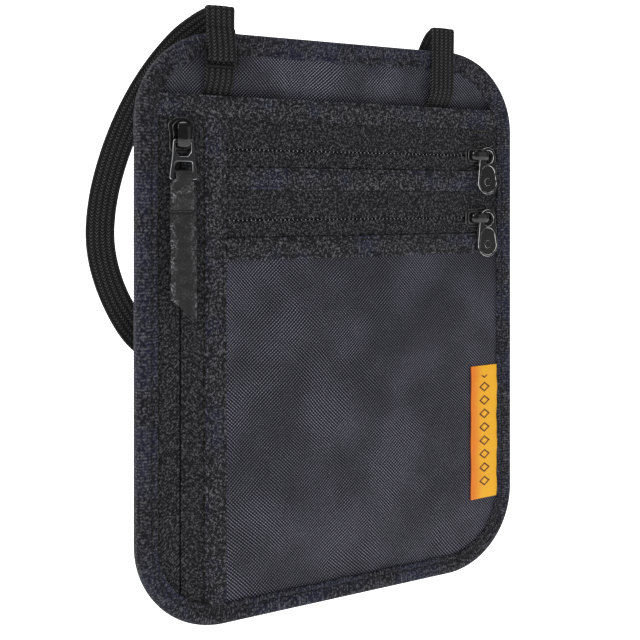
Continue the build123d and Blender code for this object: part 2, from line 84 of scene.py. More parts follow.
# ---- Mesh building ----------------------------------------------------------------------------
class Shape:
    """Vertices and faces in metres, and run coordinates in millimetres, for one mesh."""

    def __init__(self):
        self.points = []
        self.runs = []
        self.faces = []
        self.count = 0

    def add(self, points, faces, runs=None):
        points = np.asarray(points, float).reshape(-1, 3)
        if runs is None:
            runs = points[:, (0, 2)] / MM
        self.points.append(points)
        self.runs.append(np.asarray(runs, float).reshape(-1, 2))
        self.faces += [tuple(int(i) + self.count for i in face) for face in faces]
        self.count += len(points)

    def grid(self, points, runs=None, wrap_rows=False, wrap_columns=False):
        """A net of quads over an array of rows and columns of points."""
        points = np.asarray(points, float)
        rows, columns = points.shape[:2]
        index = np.arange(rows * columns).reshape(rows, columns)
        if wrap_rows:
            index = np.vstack([index, index[:1]])
        if wrap_columns:
            index = np.hstack([index, index[:, :1]])
        quads = np.stack(
            [index[:-1, :-1], index[:-1, 1:], index[1:, 1:], index[1:, :-1]], axis=-1
        )
        self.add(points, quads.reshape(-1, 4), runs)

    def tube(self, rings, runs):
        """A tube over an array of rings of points, with a face across each end."""
        self.grid(rings, runs.reshape(-1, 2), wrap_columns=True)
        for end in (0, len(rings) - 1):
            self.add(rings[end], [range(rings.shape[1])], runs[end])

    def scatter(self, points, faces, frames):
        """Copies of one small shape. Each frame is a place and three unit vectors."""
        points = np.asarray(points, float)
        for place, across, out, along in frames:
            turn = np.stack([np.array(across), np.array(out), np.array(along)])
            self.add(points @ turn + np.array(place), faces)

    def mesh(self, name, crease=40):
        mesh = bpy.data.meshes.new(name)
        points = np.vstack(self.points)
        mesh.from_pydata(points.tolist(), [], self.faces)
        run = mesh.uv_layers.new(name="run")
        corners = np.zeros(len(mesh.loops), np.int32)
        mesh.loops.foreach_get("vertex_index", corners)
        run.data.foreach_set("uv", np.vstack(self.runs)[corners].ravel())
        mesh.validate()
        mesh.shade_smooth()
        mesh.set_sharp_from_angle(angle=radians(crease))
        return mesh


def add_piece(name, mesh, material, body, nodes=()):
    """Puts a mesh in the scene, on its body, in place of its CAD nodes."""
    piece = bpy.data.objects.new(name, mesh)
    bpy.context.scene.collection.objects.link(piece)
    mesh.materials.clear()
    mesh.materials.append(material)
    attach(piece, body)
    if nodes:
        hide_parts(*nodes)
    return piece


def unit(vectors):
    vectors = np.asarray(vectors, float)
    return vectors / np.linalg.norm(vectors, axis=-1, keepdims=True)


def smooth_step(low, high, value):
    t = np.clip((value - low) / (high - low), 0, 1)
    return t * t * (3 - 2 * t)


def squared(values, power):
    """Sines or cosines moved outwards, which squares up the circle that they draw."""
    return np.sign(values) * np.abs(values) ** power


def webbing_section():
    """Shares of half the width and of half the thickness, round webbing with five columns."""
    around = np.linspace(0, 2 * pi, 44, endpoint=False)
    across = squared(np.cos(around), 0.55)
    ribs = 1 + 0.12 * np.cos(across * 5 * pi)
    return across, squared(np.sin(around), 0.55) * ribs


def tube_points(path, radius, sides, across):
    """Rings of points round a path. across is a direction that the path never takes."""
    path = np.asarray(path, float)
    tangent = unit(np.gradient(path, axis=0))
    side = unit(np.cross(tangent, across))
    out = np.cross(side, tangent)
    turn = np.linspace(0, 2 * pi, sides, endpoint=False)
    ring = np.cos(turn)[None, :, None] * side[:, None] + np.sin(turn)[None, :, None] * out[:, None]
    return path[:, None] + ring * radius


# ---- Outline of the pouch ---------------------------------------------------------------------
def edge_distance(x, z):
    """How far a place lies inside the pouch's rounded outline."""
    beyond_x = np.abs(x) - (HALF_WIDTH - CORNER)
    beyond_z = np.abs(z - CENTRE_Z) - (HALF_HEIGHT - CORNER)
    outside = np.hypot(np.maximum(beyond_x, 0), np.maximum(beyond_z, 0))
    inside = np.minimum(np.maximum(beyond_x, beyond_z), 0)
    return CORNER - outside - inside


def column_limits(x, inset):
    """The outline's lowest and highest point on the upright line at x."""
    reach = HALF_HEIGHT - inset
    beyond = np.abs(x) - (HALF_WIDTH - CORNER)
    radius = CORNER - inset
    round_part = radius - np.sqrt(np.maximum(radius**2 - np.maximum(beyond, 0) ** 2, 0))
    return CENTRE_Z - reach + round_part, CENTRE_Z + reach - round_part


def outline_path(inset, step):
    """Even points round the outline, each with its outward direction and its distance run."""
    side_x = 2 * (HALF_WIDTH - CORNER)
    side_z = 2 * (HALF_HEIGHT - CORNER)
    radius = CORNER - inset
    arc = radius * pi / 2
    total = 2 * side_x + 2 * side_z + 4 * arc
    count = ceil(total / step)
    points = np.zeros((count, 2))
    outward = np.zeros((count, 2))
    runs = np.arange(count) * total / count
    starts = [
        (-side_x / 2, -side_z / 2 - radius, 1, 0, side_x),
        (side_x / 2 + radius, -side_z / 2, 0, 1, side_z),
        (side_x / 2, side_z / 2 + radius, -1, 0, side_x),
        (-side_x / 2 - radius, side_z / 2, 0, -1, side_z),
    ]
    for i, run in enumerate(runs):
        rest = run
        for number, (x, z, go_x, go_z, length) in enumerate(starts):
            if rest <= length:
                points[i] = (x + go_x * rest, z + go_z * rest)
                outward[i] = (go_z, -go_x)
                break
            rest -= length
            if rest <= arc:
                angle = number * pi / 2 - pi / 2 + rest / radius
                centre_x = side_x / 2 * (1 if number in (0, 1) else -1)
                centre_z = side_z / 2 * (1 if number in (1, 2) else -1)
                outward[i] = (cos(angle), sin(angle))
                points[i] = (centre_x + radius * cos(angle), centre_z + radius * sin(angle))
                break
            rest -= arc
    points[:, 1] += CENTRE_Z
    return points, outward, runs


# ---- Materials --------------------------------------------------------------------------------
class Paint:
    """A node material with a Principled shader and short ways to add nodes to it."""

    def __init__(self, name, roughness=0.8, **settings):
        self.material = bpy.data.materials.new(f"{name}_look")
        self.material["slot"] = name
        self.material.use_nodes = True
        self.tree = self.material.node_tree
        self.shader = self.tree.nodes["Principled BSDF"]
        self.shader.inputs["Roughness"].default_value = roughness
        for socket, value in settings.items():
            self.shader.inputs[socket.replace("_", " ")].default_value = value

    def node(self, kind, inputs=(), **settings):
        node = self.tree.nodes.new(kind)
        for key, value in settings.items():
            setattr(node, key, value)
        for socket, value in inputs:
            if isinstance(value, bpy.types.NodeSocket):
                self.tree.links.new(value, node.inputs[socket])
            elif value is not None:
                node.inputs[socket].default_value = value
        return node

    def math(self, operation, first, second=None, third=None):
        inputs = [(0, first), (1, second), (2, third)]
        return self.node("ShaderNodeMath", inputs, operation=operation).outputs[0]

    def mix(self, factor, first, second):
        inputs = [(0, factor), (6, first), (7, second)]
        return self.node("ShaderNodeMix", inputs, data_type="RGBA").outputs[2]

    def run(self):
        """The run coordinates, along and across, in millimetres."""
        uv = self.node("ShaderNodeUVMap", uv_map="run").outputs[0]
        split = self.node("ShaderNodeSeparateXYZ", [(0, uv)])
        return split.outputs[0], split.outputs[1]

    def place(self):
        return self.node("ShaderNodeTexCoord").outputs["Object"]

    def noise(self, scale, detail=3.0, vector=None, rough=0.5):
        inputs = [("Vector", vector or self.place()), ("Scale", scale), ("Detail", detail)]
        inputs.append(("Roughness", rough))
        return self.node("ShaderNodeTexNoise", inputs).outputs[0]

    def ramp(self, value, low, high):
        """0 below low, 1 above high, smooth between."""
        inputs = [("Value", value), ("From Min", low), ("From Max", high)]
        node = self.node("ShaderNodeMapRange", inputs, interpolation_type="SMOOTHSTEP")
        return node.outputs[0]

    def wave(self, value, pitch, shift=0.0):
        """A sine between 0 and 1 with the given pitch."""
        turned = self.math("MULTIPLY_ADD", value, 2 * pi / pitch, shift)
        return self.math("MULTIPLY_ADD", self.math("SINE", turned), 0.5, 0.5)

    def weave(self, along, across, pitch):
        """The height of a plain weave, between 0 and 1, with threads one pitch apart."""
        first = self.math("SINE", self.math("MULTIPLY", along, pi / pitch))
        second = self.math("SINE", self.math("MULTIPLY", across, pi / pitch))
        return self.math("MULTIPLY_ADD", self.math("MULTIPLY", first, second), 0.5, 0.5)

    def edge_wear_and_glint(self):
        """1 on edges that lean between the front and the sides, 0 on flat faces and walls."""
        normal = self.node("ShaderNodeTexCoord").outputs["Normal"]
        depth = self.node("ShaderNodeSeparateXYZ", [(0, normal)]).outputs[1]
        facing = self.math("ABSOLUTE", depth)
        return self.math("MULTIPLY", self.ramp(facing, 0.94, 0.72), self.ramp(facing, 0.12, 0.4))

    def bump(self, height, distance, strength=1.0, below=None):
        inputs = [("Height", height), ("Distance", distance), ("Strength", strength)]
        inputs.append(("Normal", below))
        return self.node("ShaderNodeBump", inputs).outputs[0]

    def finish(self, colour=None, roughness=None, normal=None):
        for socket, value in (("Base Color", colour), ("Roughness", roughness), ("Normal", normal)):
            if isinstance(value, bpy.types.NodeSocket):
                self.tree.links.new(value, self.shader.inputs[socket])
            elif value is not None:
                self.shader.inputs[socket].default_value = value
        return self.material


def grey(value, blue=1.0, red=1.0):
    return (value * red, value, value * blue, 1)


def canvas(name, dark, light, patch_scale, amount):
    """Coated plain weave: pale diagonal threads that change hand in zones, in bands of sheen."""
    paint = Paint(name, 0.55, Sheen_Weight=0.02, Sheen_Roughness=0.4, Specular_IOR_Level=0.16)
    along, across = paint.run()
    along = paint.math("MULTIPLY_ADD", paint.noise(22.0, 1.0), 7.0, along)
    across = paint.math("MULTIPLY_ADD", paint.noise(17.0, 1.0), -7.0, across)
    rising = paint.wave(paint.math("ADD", along, across), 1.25)
    falling = paint.wave(paint.math("SUBTRACT", along, across), 1.25)
    zone = paint.ramp(paint.noise(48.0, 1.0), 0.42, 0.58)
    lines = paint.math("ADD", rising, paint.math(
        "MULTIPLY", paint.math("SUBTRACT", falling, rising), zone))
    other = paint.math("SUBTRACT", paint.math("ADD", rising, falling), lines)
    crossings = paint.math("MULTIPLY", lines, paint.math("MULTIPLY_ADD", other, 0.5, 0.5))
    bands = paint.ramp(paint.noise(patch_scale, 2.0, rough=0.6), 0.36, 0.68)
    shine = paint.math("MULTIPLY_ADD", bands, amount, 1 - amount)
    grain = paint.math("MULTIPLY_ADD", paint.noise(2600.0, 2.0), 1.3, 0.35)
    threads = paint.math("MULTIPLY", paint.ramp(crossings, 0.3, 0.85), shine)
    lit = paint.math("MULTIPLY", threads, grain)
    colour = paint.mix(lit, dark, light)
    roughness = paint.math("MULTIPLY_ADD", lit, -0.2, 0.68)
    wrinkle = paint.bump(paint.noise(90.0, 3.0), 0.0010, 0.3)
    return paint.finish(colour, roughness, paint.bump(crossings, 0.00014, 0.7, wrinkle))


def tape(name, dark, light, tint):
    """Matt woven tape: fine speckled weave with patches of a bluer tint."""
    paint = Paint(name, 0.85, **MATT_CLOTH)
    along, across = paint.run()
    weave = paint.weave(along, across, TAPE_PITCH)
    speckle = paint.ramp(paint.noise(1300.0, 3.0, rough=0.7), 0.47, 0.66)
    lit = paint.math("MULTIPLY", paint.math("MULTIPLY_ADD", weave, 0.6, 0.4), speckle)
    patches = paint.ramp(paint.noise(60.0, 3.0, rough=0.6), 0.45, 0.7)
    ground = paint.mix(patches, dark, tint)
    colour = paint.mix(lit, ground, light)
    return paint.finish(colour, None, paint.bump(weave, 0.00014, 0.8))


def ribbed_tape(name, dark, light, tint):
    """Grosgrain binding: fine ribs across the tape, speckled, with bluer patches."""
    paint = Paint(name, 0.85, **MATT_CLOTH)
    along, across = paint.run()
    ribs = paint.wave(along, 1.0)
    threads = paint.wave(across, 0.55)
    height = paint.math("MULTIPLY", ribs, paint.math("MULTIPLY_ADD", threads, 0.5, 0.5))
    speckle = paint.ramp(paint.noise(1200.0, 3.0, rough=0.7), 0.44, 0.66)
    lit = paint.math("MULTIPLY", paint.math("MULTIPLY_ADD", height, 0.75, 0.25), speckle)
    patches = paint.ramp(paint.noise(45.0, 3.0, rough=0.6), 0.42, 0.68)
    colour = paint.mix(lit, paint.mix(patches, dark, tint), light)
    return paint.finish(colour, None, paint.bump(height, 0.0002, 0.8))


def herringbone_tape(name, dark, light):
    """Zip tape: slanted ridges that mirror about the zip's slit."""
    paint = Paint(name, 0.85, **MATT_CLOTH)
    along, across = paint.run()
    away = paint.math("ABSOLUTE", across)
    slant = paint.math("MULTIPLY_ADD", away, 0.9, along)
    ridges = paint.wave(slant, 1.05)
    cross_threads = paint.wave(away, 0.85)
    height = paint.math("MULTIPLY", ridges, paint.math("MULTIPLY_ADD", cross_threads, 0.6, 0.4))
    speckle = paint.ramp(paint.noise(1200.0, 3.0, rough=0.7), 0.46, 0.66)
    lit = paint.math("MULTIPLY", paint.math("MULTIPLY_ADD", height, 0.6, 0.3), speckle)
    return paint.finish(paint.mix(lit, dark, light), None, paint.bump(height, 0.00022, 0.8))


def braid(name, dark, light):
    """Flat webbing: five raised columns of slanted threads that change hand at each column."""
    paint = Paint(name, 0.8, Sheen_Weight=0.03, Sheen_Roughness=0.45, Specular_IOR_Level=0.12)
    along, across = paint.run()
    zigzag = paint.math("PINGPONG", across, 1.0)
    slant = paint.math("MULTIPLY_ADD", zigzag, 1.1, along)
    threads = paint.wave(slant, 1.15)
    columns = paint.wave(across, 2.0, pi / 2)
    height = paint.math("MULTIPLY", threads, paint.math("MULTIPLY_ADD", columns, 0.65, 0.35))
    speckle = paint.math("MULTIPLY_ADD", paint.noise(1500.0, 2.0), 0.9, 0.5)
    colour = paint.mix(paint.math("MULTIPLY", paint.ramp(height, 0.2, 1.0), speckle), dark, light)
    return paint.finish(colour, None, paint.bump(height, 0.0003, 0.9))


def thread(name, colour, light):
    """Twisted sewing thread."""
    paint = Paint(name, 0.6, Sheen_Weight=0.03, Specular_IOR_Level=0.2)
    strands = paint.noise(1800.0, 1.0)
    return paint.finish(paint.mix(strands, colour, light), None, paint.bump(strands, 0.0001, 0.6))


def nylon(name, colour):
    paint = Paint(name, 0.35, Specular_IOR_Level=0.5)
    haze = paint.noise(700.0, 2.0)
    roughness = paint.math("MULTIPLY_ADD", haze, 0.25, 0.25)
    return paint.finish(colour, roughness, paint.bump(haze, 0.00004, 0.4))


def enamel(name, colour, wear_and_glint_colour, wear_and_glint_amount):
    """Black enamel, paler along its bevelled edges: partly rubbed to brighter metal, partly painted
    highlight for the glints that the bevels catch.
    """
    paint = Paint(name, 0.3, Coat_Weight=0.08, Coat_Roughness=0.1, Specular_IOR_Level=0.2)
    patchy = paint.ramp(paint.noise(520.0, 3.0), 0.3, 0.55)
    # Painted highlight and wear: the bevels are mixed, in patches, towards the paler colour.
    brightened = paint.math("MULTIPLY", paint.math("MULTIPLY", paint.edge_wear_and_glint(), patchy), wear_and_glint_amount)
    scratches = paint.noise(900.0, 3.0)
    roughness = paint.math("MULTIPLY_ADD", scratches, 0.3, 0.16)
    ripple = paint.bump(paint.noise(160.0, 2.0), 0.0001, 0.2)
    return paint.finish(paint.mix(brightened, colour, wear_and_glint_colour), roughness, ripple)


def gloss(name, slot, colour):
    """Unworn glossy enamel on a rounded casting, with faint waves in its reflections."""
    paint = Paint(name, 0.1, Coat_Weight=0.25, Coat_Roughness=0.05, Specular_IOR_Level=0.4)
    paint.material["slot"] = slot
    haze = paint.math("MULTIPLY_ADD", paint.noise(800.0, 3.0), 0.12, 0.05)
    return paint.finish(colour, haze, paint.bump(paint.noise(240.0, 2.0), 0.00008, 0.25))


def plated(name, colour, bright):
    """Dark plated steel with a fine brushed grain, and brighter edges: partly worn plating, partly
    painted highlight on the bevels.
    """
    paint = Paint(name, 0.3, Metallic=1.0)
    stretched = paint.node(
        "ShaderNodeVectorMath", [(0, paint.place()), (1, (6000.0, 6000.0, 300.0))],
        operation="MULTIPLY",
    ).outputs[0]
    grain = paint.noise(1.0, 2.0, stretched)
    roughness = paint.math("MULTIPLY_ADD", grain, 0.25, 0.2)
    # Painted highlight and wear: the bevels take the bright colour.
    brightened = paint.mix(paint.edge_wear_and_glint(), colour, bright)
    return paint.finish(brightened, roughness, paint.bump(grain, 0.00002, 0.5))


def hide(name, dark, light):
    """Grained leather: pebbles between fine creases, paler where it is rubbed, and darker along its
    stitches, where shade is painted in.
    """
    paint = Paint(name, 0.5, Specular_IOR_Level=0.3, Sheen_Weight=0.02)
    cells = paint.node(
        "ShaderNodeTexVoronoi", [("Vector", paint.place()), ("Scale", 1700.0)],
        feature="DISTANCE_TO_EDGE",
    ).outputs["Distance"]
    pebbles = paint.ramp(cells, 0.0, 0.3)
    along, across = paint.run()
    edge = paint.ramp(paint.math("ABSOLUTE", across), 1.6, 4.4)
    from_band = paint.math("ABSOLUTE", paint.math("SUBTRACT", along, LEATHER_BAND_Z))
    top_band = paint.ramp(from_band, 1.7, 0.4)
    rubbed = paint.math("MAXIMUM", edge, top_band)
    patchy = paint.ramp(paint.noise(420.0, 4.0, rough=0.7), 0.38, 0.66)
    speckle = paint.ramp(paint.noise(1900.0, 2.0), 0.4, 0.7)
    brightened = paint.math("MULTIPLY", paint.math("MULTIPLY_ADD", rubbed, 0.85, 0.15), patchy)
    # Painted shade: darker along the row of stitches, for the shadow in the pinched crease.
    seam = paint.ramp(paint.math("ABSOLUTE", paint.math("SUBTRACT", along, LEATHER_STITCH_Z)), 0.35, 1.1)
    lit = paint.math("MULTIPLY", brightened, seam)
    colour = paint.mix(paint.math("MULTIPLY", lit, speckle), dark, light)
    roughness = paint.math("MULTIPLY_ADD", pebbles, -0.14, 0.58)
    folds = paint.bump(paint.noise(210.0, 3.0), 0.0005, 0.35)
    return paint.finish(colour, roughness, paint.bump(pebbles, 0.0001, 0.7, folds))


def satin_label(name):
    """Satin-woven label: gold with an orange side, a dark outline and a column of lozenges."""
    paint = Paint(name, 0.5, Sheen_Weight=0.08, Sheen_Roughness=0.3, Specular_IOR_Level=0.25)
    along, across = paint.run()
    floats = paint.math("MULTIPLY_ADD", across, 0.35, along)
    weave = paint.weave(floats, across, 0.3)
    shade = paint.math("MULTIPLY_ADD", paint.noise(160.0, 2.0), 3.0, along)
    gold = paint.mix(paint.ramp(shade, 2.5, 8.5), (0.76, 0.20, 0.009, 1), (0.82, 0.42, 0.014, 1))
    deep = paint.mix(0.6, (0.35, 0.06, 0.004, 1), gold)
    cloth = paint.mix(paint.ramp(weave, 0.05, 0.5), deep, gold)
    # The lozenges are outlines in a column.
    step = paint.math("ABSOLUTE", paint.math("SUBTRACT", paint.math(
        "MODULO", paint.math("ADD", across, 100.0), LOZENGE_PITCH), LOZENGE_PITCH / 2))
    side = paint.math("ABSOLUTE", paint.math("SUBTRACT", along, LOZENGE_X))
    size = paint.math("MULTIPLY_ADD", side, 0.72, step)
    ring = paint.math("ABSOLUTE", paint.math("SUBTRACT", size, 1.6))
    drawn = paint.ramp(ring, 0.45, 0.25)
    inside = paint.math("MULTIPLY", paint.ramp(across, 3.4, 3.6), paint.ramp(across, 47.6, 47.4))
    outline = paint.ramp(along, 0.55, 0.35)
    mark = paint.math("MAXIMUM", paint.math("MULTIPLY", drawn, inside), outline)
    colour = paint.mix(mark, cloth, (0.10, 0.012, 0.006, 1))
    return paint.finish(colour, None, paint.bump(weave, 0.0001, 0.6))


def metallised(name):
    """Silvered shielding cloth with a crinkled surface."""
    paint = Paint(name, 0.35, Metallic=0.9)
    crinkle = paint.noise(180.0, 5.0, rough=0.7)
    colour = paint.mix(crinkle, grey(0.3), grey(0.62))
    return paint.finish(colour, None, paint.bump(crinkle, 0.0008, 0.6))


def moulded(name, colour, roughness):
    """Moulded plastic or rubber with a light spark-eroded grain."""
    paint = Paint(name, roughness, Specular_IOR_Level=0.2)
    grain = paint.noise(1800.0, 2.0)
    shade = paint.math("MULTIPLY_ADD", grain, 0.2, roughness - 0.1)
    return paint.finish(colour, shade, paint.bump(grain, 0.00004, 0.5))


FRONT_FABRIC = canvas("front_fabric", grey(0.003, 1.4), (0.165, 0.162, 0.218, 1), 30.0, 0.5)
BACK_FABRIC = canvas("back_fabric", grey(0.0035, 1.4), (0.205, 0.202, 0.268, 1), 40.0, 0.55)
SEAM_TAPE = tape("seam_tape", grey(0.007, 1.2), grey(0.15, 1.12), (0.010, 0.010, 0.024, 1))
BINDING_TAPE = ribbed_tape(
    "binding_tape", grey(0.006, 1.3), grey(0.135, 1.15), (0.010, 0.010, 0.026, 1)
)
LINING = tape("lining", grey(0.012, 1.1), grey(0.05, 1.05), grey(0.014, 1.3))
ZIP_TAPE = herringbone_tape("zip_tape", grey(0.0055, 1.1), grey(0.135, 1.1))
WEBBING = braid("webbing", grey(0.0045, 1.05), grey(0.062, 1.02))
THREAD = thread("thread", grey(0.004, 1.2), grey(0.014, 1.2))
LEATHER_THREAD = thread("leather_thread", grey(0.02), grey(0.05))
KNUCKLES = thread("zip_knuckle_thread", grey(0.012, 1.1), grey(0.06, 1.1))
# Painted highlight: pale beads for the glints along the row zips' slits.
KNUCKLE_GLINTS = thread("painted_knuckle_glints", grey(0.08, 1.1), grey(0.36, 1.05))
ZIP_COIL = nylon("zip_coil", grey(0.012))
# The enamels' second colours are their paler edges, which are wear and painted highlight.
STOP_METAL = enamel("stop_metal", grey(0.01), grey(0.3), 0.4)
BLACK_ENAMEL = enamel("black_enamel", grey(0.004), grey(0.4), 0.35)
BRIDGE_ENAMEL = gloss("black_enamel_bridge", "black_enamel", grey(0.003))
PULL_ENAMEL = enamel("pull_enamel", grey(0.004), grey(0.8), 1.0)
# The bright second colour is for the link's edges: worn plating and painted highlight.
GUNMETAL = plated("gunmetal", grey(0.05, 1.05), grey(0.85, 1.02))
LEATHER = hide("leather", grey(0.005, 1.1), grey(0.26, 1.05))
WOVEN_LABEL = satin_label("woven_label")
LINER = metallised("metallised_liner")
TIE_BAND = moulded("tie_band", grey(0.012), 0.7)
ADJUSTER_PLASTIC = moulded("adjuster_plastic", grey(0.004), 0.5)


# ---- Camera -----------------------------------------------------------------------------------
def make_camera():
    camera = bpy.data.objects.new("camera", bpy.data.cameras.new("camera"))
    bpy.context.scene.collection.objects.link(camera)
    camera.location = (-0.1724, -0.3039, -0.0643)
    camera.rotation_euler = (radians(90), 0, radians(-28.36))
    camera.data.sensor_width = 36
    camera.data.lens = 54.8
    camera.data.shift_y = -0.189
    bpy.context.scene.camera = camera


# ---- Neck strap -------------------------------------------------------------------------------
STRAP_WIDTH = 10 * MM
STRAP_THICK = 1 * MM
STRAP_LEFT_X = -47.6 * MM
STRAP_RIGHT_X = 42.6 * MM
HANK_CENTRE = (-5.0, 4.0)
HANK_DEPTH = 14.0
HANK_OUTER = 55.9
HANK_INNER = 47.6
HANK_START = 226
HANK_TURNS = 2
POINTS_PER_TURN = 20

# The route's points, in millimetres. The front run is depth and height, the others are
# sideways, depth and height. Heights are counted from the middle of the pouch.
FRONT_RUN = [
    (0.95, 64.0),
    (0.95, 72.4),
    (0.95, 78.6),
    (-2.7, 82.6),
    (-2.9, 89.1),
    (-3.2, 105.3),
    (-3.2, 107.2),
    (-2.2, 107.2),
]
LEFT_RUN = [
    (-47.6, -1.6, 106.6),
    (-47.6, 0.9, 105.83),
    (-50.3, 4.8, 102.9),
    (-57.0, 10.4, 96.4),
    (-64.6, 16.4, 85.4),
    (-70.9, 21.2, 72.4),
    (-75.9, 24.8, 57.6),
    (-79.3, 27.0, 42.0),
    (-80.0, 27.6, 26.6),
    (-76.2, 26.6, 11.4),
    (-69.4, 24.2, -2.0),
    (-60.4, 19.8, -15.2),
    (-51.4, 15.6, -27.3),
]
RIGHT_RUN = [
    (42.6, -1.6, 106.6),
    (42.6, 0.9, 105.83),
    (42.8, 4.8, 102.4),
    (42.7, 9.8, 95.0),
    (42.1, 14.4, 83.5),
    (40.7, 18.8, 69.0),
    (39.2, 21.4, 57.5),
    (37.5, 22.8, 46.0),
    (34.6, 24.2, 28.5),
    (30.0, 24.2, 11.0),
    (23.0, 23.0, -5.0),
    (13.2, 20.6, -19.5),
    (0.6, 17.6, -31.0),
    (-10.6, 15.8, -37.0),
]


def strap_route():
    """The control points from the left slip pocket, through the coil, to the right one."""
    left_front = [(STRAP_LEFT_X / MM, depth, height) for depth, height in FRONT_RUN]
    right_front = [(STRAP_RIGHT_X / MM, depth, height) for depth, height in FRONT_RUN]
    turns = []
    count = HANK_TURNS * POINTS_PER_TURN
    for step in range(count + 1):
        share = step / count
        angle = radians(HANK_START + 360 * HANK_TURNS * share)
        radius = HANK_OUTER + (HANK_INNER - HANK_OUTER) * share
        turns.append((
            HANK_CENTRE[0] + radius * cos(angle),
            HANK_DEPTH,
            HANK_CENTRE[1] + radius * sin(angle),
        ))
    back = [*LEFT_RUN, *turns, *reversed(RIGHT_RUN)]
    route = [*left_front, *back, *reversed(right_front)]
    return [(x * MM, depth * MM, height * MM + CENTRE_Z) for x, depth, height in route]


def read_route(points):
    """The smooth line of a NURBS spline through the route, read at even steps."""
    curve = bpy.data.curves.new("strap_route", "CURVE")
    curve.dimensions = "3D"
    curve.resolution_u = 24
    spline = curve.splines.new("NURBS")
    spline.points.add(len(points) - 1)
    for control, place in zip(spline.points, points):
        control.co = (*place, 1)
    spline.use_endpoint_u = True
    spline.order_u = 3
    holder = bpy.data.objects.new("strap_route", curve)
    line = bpy.data.meshes.new_from_object(holder)
    places = np.array([vertex.co[:] for vertex in line.vertices])
    bpy.data.objects.remove(holder)
    bpy.data.meshes.remove(line)
    steps = np.linalg.norm(np.diff(places, axis=0), axis=1)
    run = np.concatenate([[0], np.cumsum(steps)])
    even = np.linspace(0, run[-1], ceil(run[-1] / (0.9 * MM)) + 1)
    return np.stack([np.interp(even, run, places[:, axis]) for axis in range(3)], axis=1), even


def make_strap():
    path, run = read_route(strap_route())
    tangent = unit(np.gradient(path, axis=0))
    height = (path[:, 2] - CENTRE_Z) / MM
    behind = path[:, 1] / MM
    in_first_half = run < run[-1] / 2
    # How far the webbing is turned from facing the pouch: a little to the left in the left bow,
    # and onto its edge in the coil.
    left_turn = 118 * smooth_step(5, -24, height) - 28 * smooth_step(105, 97, height)
    right_turn = 90 * smooth_step(40, -28, height)
    turn = np.where(in_first_half, left_turn, right_turn)
    hank_ends = [
        np.argmin(np.linalg.norm(path - (np.array(place) * MM + (0, 0, CENTRE_Z)), axis=1))
        for place in (LEFT_RUN[-1], RIGHT_RUN[-1])
    ]
    order = np.arange(len(path))
    turn = np.where((order >= hank_ends[0]) & (order <= hank_ends[1]), 90, turn)
    turn = np.where(behind < 0.95, 0, turn)
    smooth = np.ones(25) / 25
    turn = np.convolve(np.pad(turn, 12, mode="edge"), smooth, mode="valid")
    wide = np.stack([np.cos(np.radians(turn)), np.sin(np.radians(turn)), 0 * turn], axis=1)
    wide = unit(wide - tangent * np.sum(wide * tangent, axis=1, keepdims=True))
    out = np.cross(tangent, wide)
    across, thick = webbing_section()
    section_wide = across * STRAP_WIDTH / 2
    section_out = thick * STRAP_THICK / 2
    points = (
        path[:, None]
        + wide[:, None] * section_wide[None, :, None]
        + out[:, None] * section_out[None, :, None]
    )
    runs = np.stack(np.broadcast_arrays(run[:, None] / MM, section_wide[None] / MM + 5), axis=-1)
    shape = Shape()
    shape.tube(points, runs)
    strap = add_piece(
        "neck_strap_webbing", shape.mesh("neck_strap_webbing"), WEBBING, "pouch",
        ("neck_strap_left", "neck_strap_right", "neck_strap_hank"),
    )


def make_tie():
    """A soft band closed round the spare turns of the strap."""
    low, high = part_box("strap_tie")
    centre = (low + high) / 2
    half_y = (high.y - low.y) / 2 - 0.5 * MM
    half_z = (high.z - low.z) / 2 - 0.5 * MM
    turn = np.linspace(0, 2 * pi, 72, endpoint=False)
    y = half_y * squared(np.cos(turn), 0.45)
    z = half_z * squared(np.sin(turn), 0.45)
    path = np.stack([0 * turn + centre.x, centre.y + y, centre.z + z], axis=1)
    tangent = unit(np.roll(path, -1, axis=0) - np.roll(path, 1, axis=0))
    out = np.cross(tangent, (1, 0, 0))
    around = np.linspace(0, 2 * pi, 24, endpoint=False)
    across = squared(np.cos(around), 0.5)
    thick = squared(np.sin(around), 0.6)
    half_band = (high.x - low.x) / 2
    points = (
        path[:, None] + np.array((1, 0, 0)) * (across * half_band)[None, :, None]
        + out[:, None] * (thick * 0.4 * MM)[None, :, None]
    )
    shape = Shape()
    shape.grid(points, wrap_rows=True, wrap_columns=True)
    add_piece("strap_tie_band", shape.mesh("strap_tie_band", 60), TIE_BAND, "pouch",
              ("strap_tie",))


make_camera()
make_tie()
make_strap()

# ---- Stage and light --------------------------------------------------------------------------
def make_stage():
    stage_paint = Paint("stage", 0.9)
    stage_paint.finish((0.92, 0.92, 0.92, 1))
    stage_paint.shader.inputs["Emission Color"].default_value = (1, 1, 1, 1)
    stage_paint.shader.inputs["Emission Strength"].default_value = 0.85
    reach = 3.0
    floor_z = BINDING_LOW.z - 0.06
    wall_y = 0.9
    bend = 0.5
    profile = [(-reach, 0.0), (wall_y - bend, 0.0)]
    for step in range(1, 9):
        angle = step / 8 * pi / 2
        profile.append((wall_y - bend + bend * sin(angle), bend - bend * cos(angle)))
    profile.append((wall_y, reach))
    points = np.array([[(x, y, floor_z + z) for x in (-reach, reach)] for y, z in profile])
    shape = Shape()
    shape.grid(points)
    mesh = shape.mesh("backdrop")
    backdrop = bpy.data.objects.new("backdrop", mesh)
    mesh.materials.append(stage_paint.material)
    bpy.context.scene.collection.objects.link(backdrop)


def make_light(name, place, target, size, power):
    light = bpy.data.objects.new(name, bpy.data.lights.new(name, "AREA"))
    bpy.context.scene.collection.objects.link(light)
    light.data.shape = "RECTANGLE"
    light.data.size, light.data.size_y = size
    light.data.energy = power
    light.location = place
    away = Vector(place) - Vector(target)
    light.rotation_euler = away.to_track_quat("Z", "Y").to_euler()


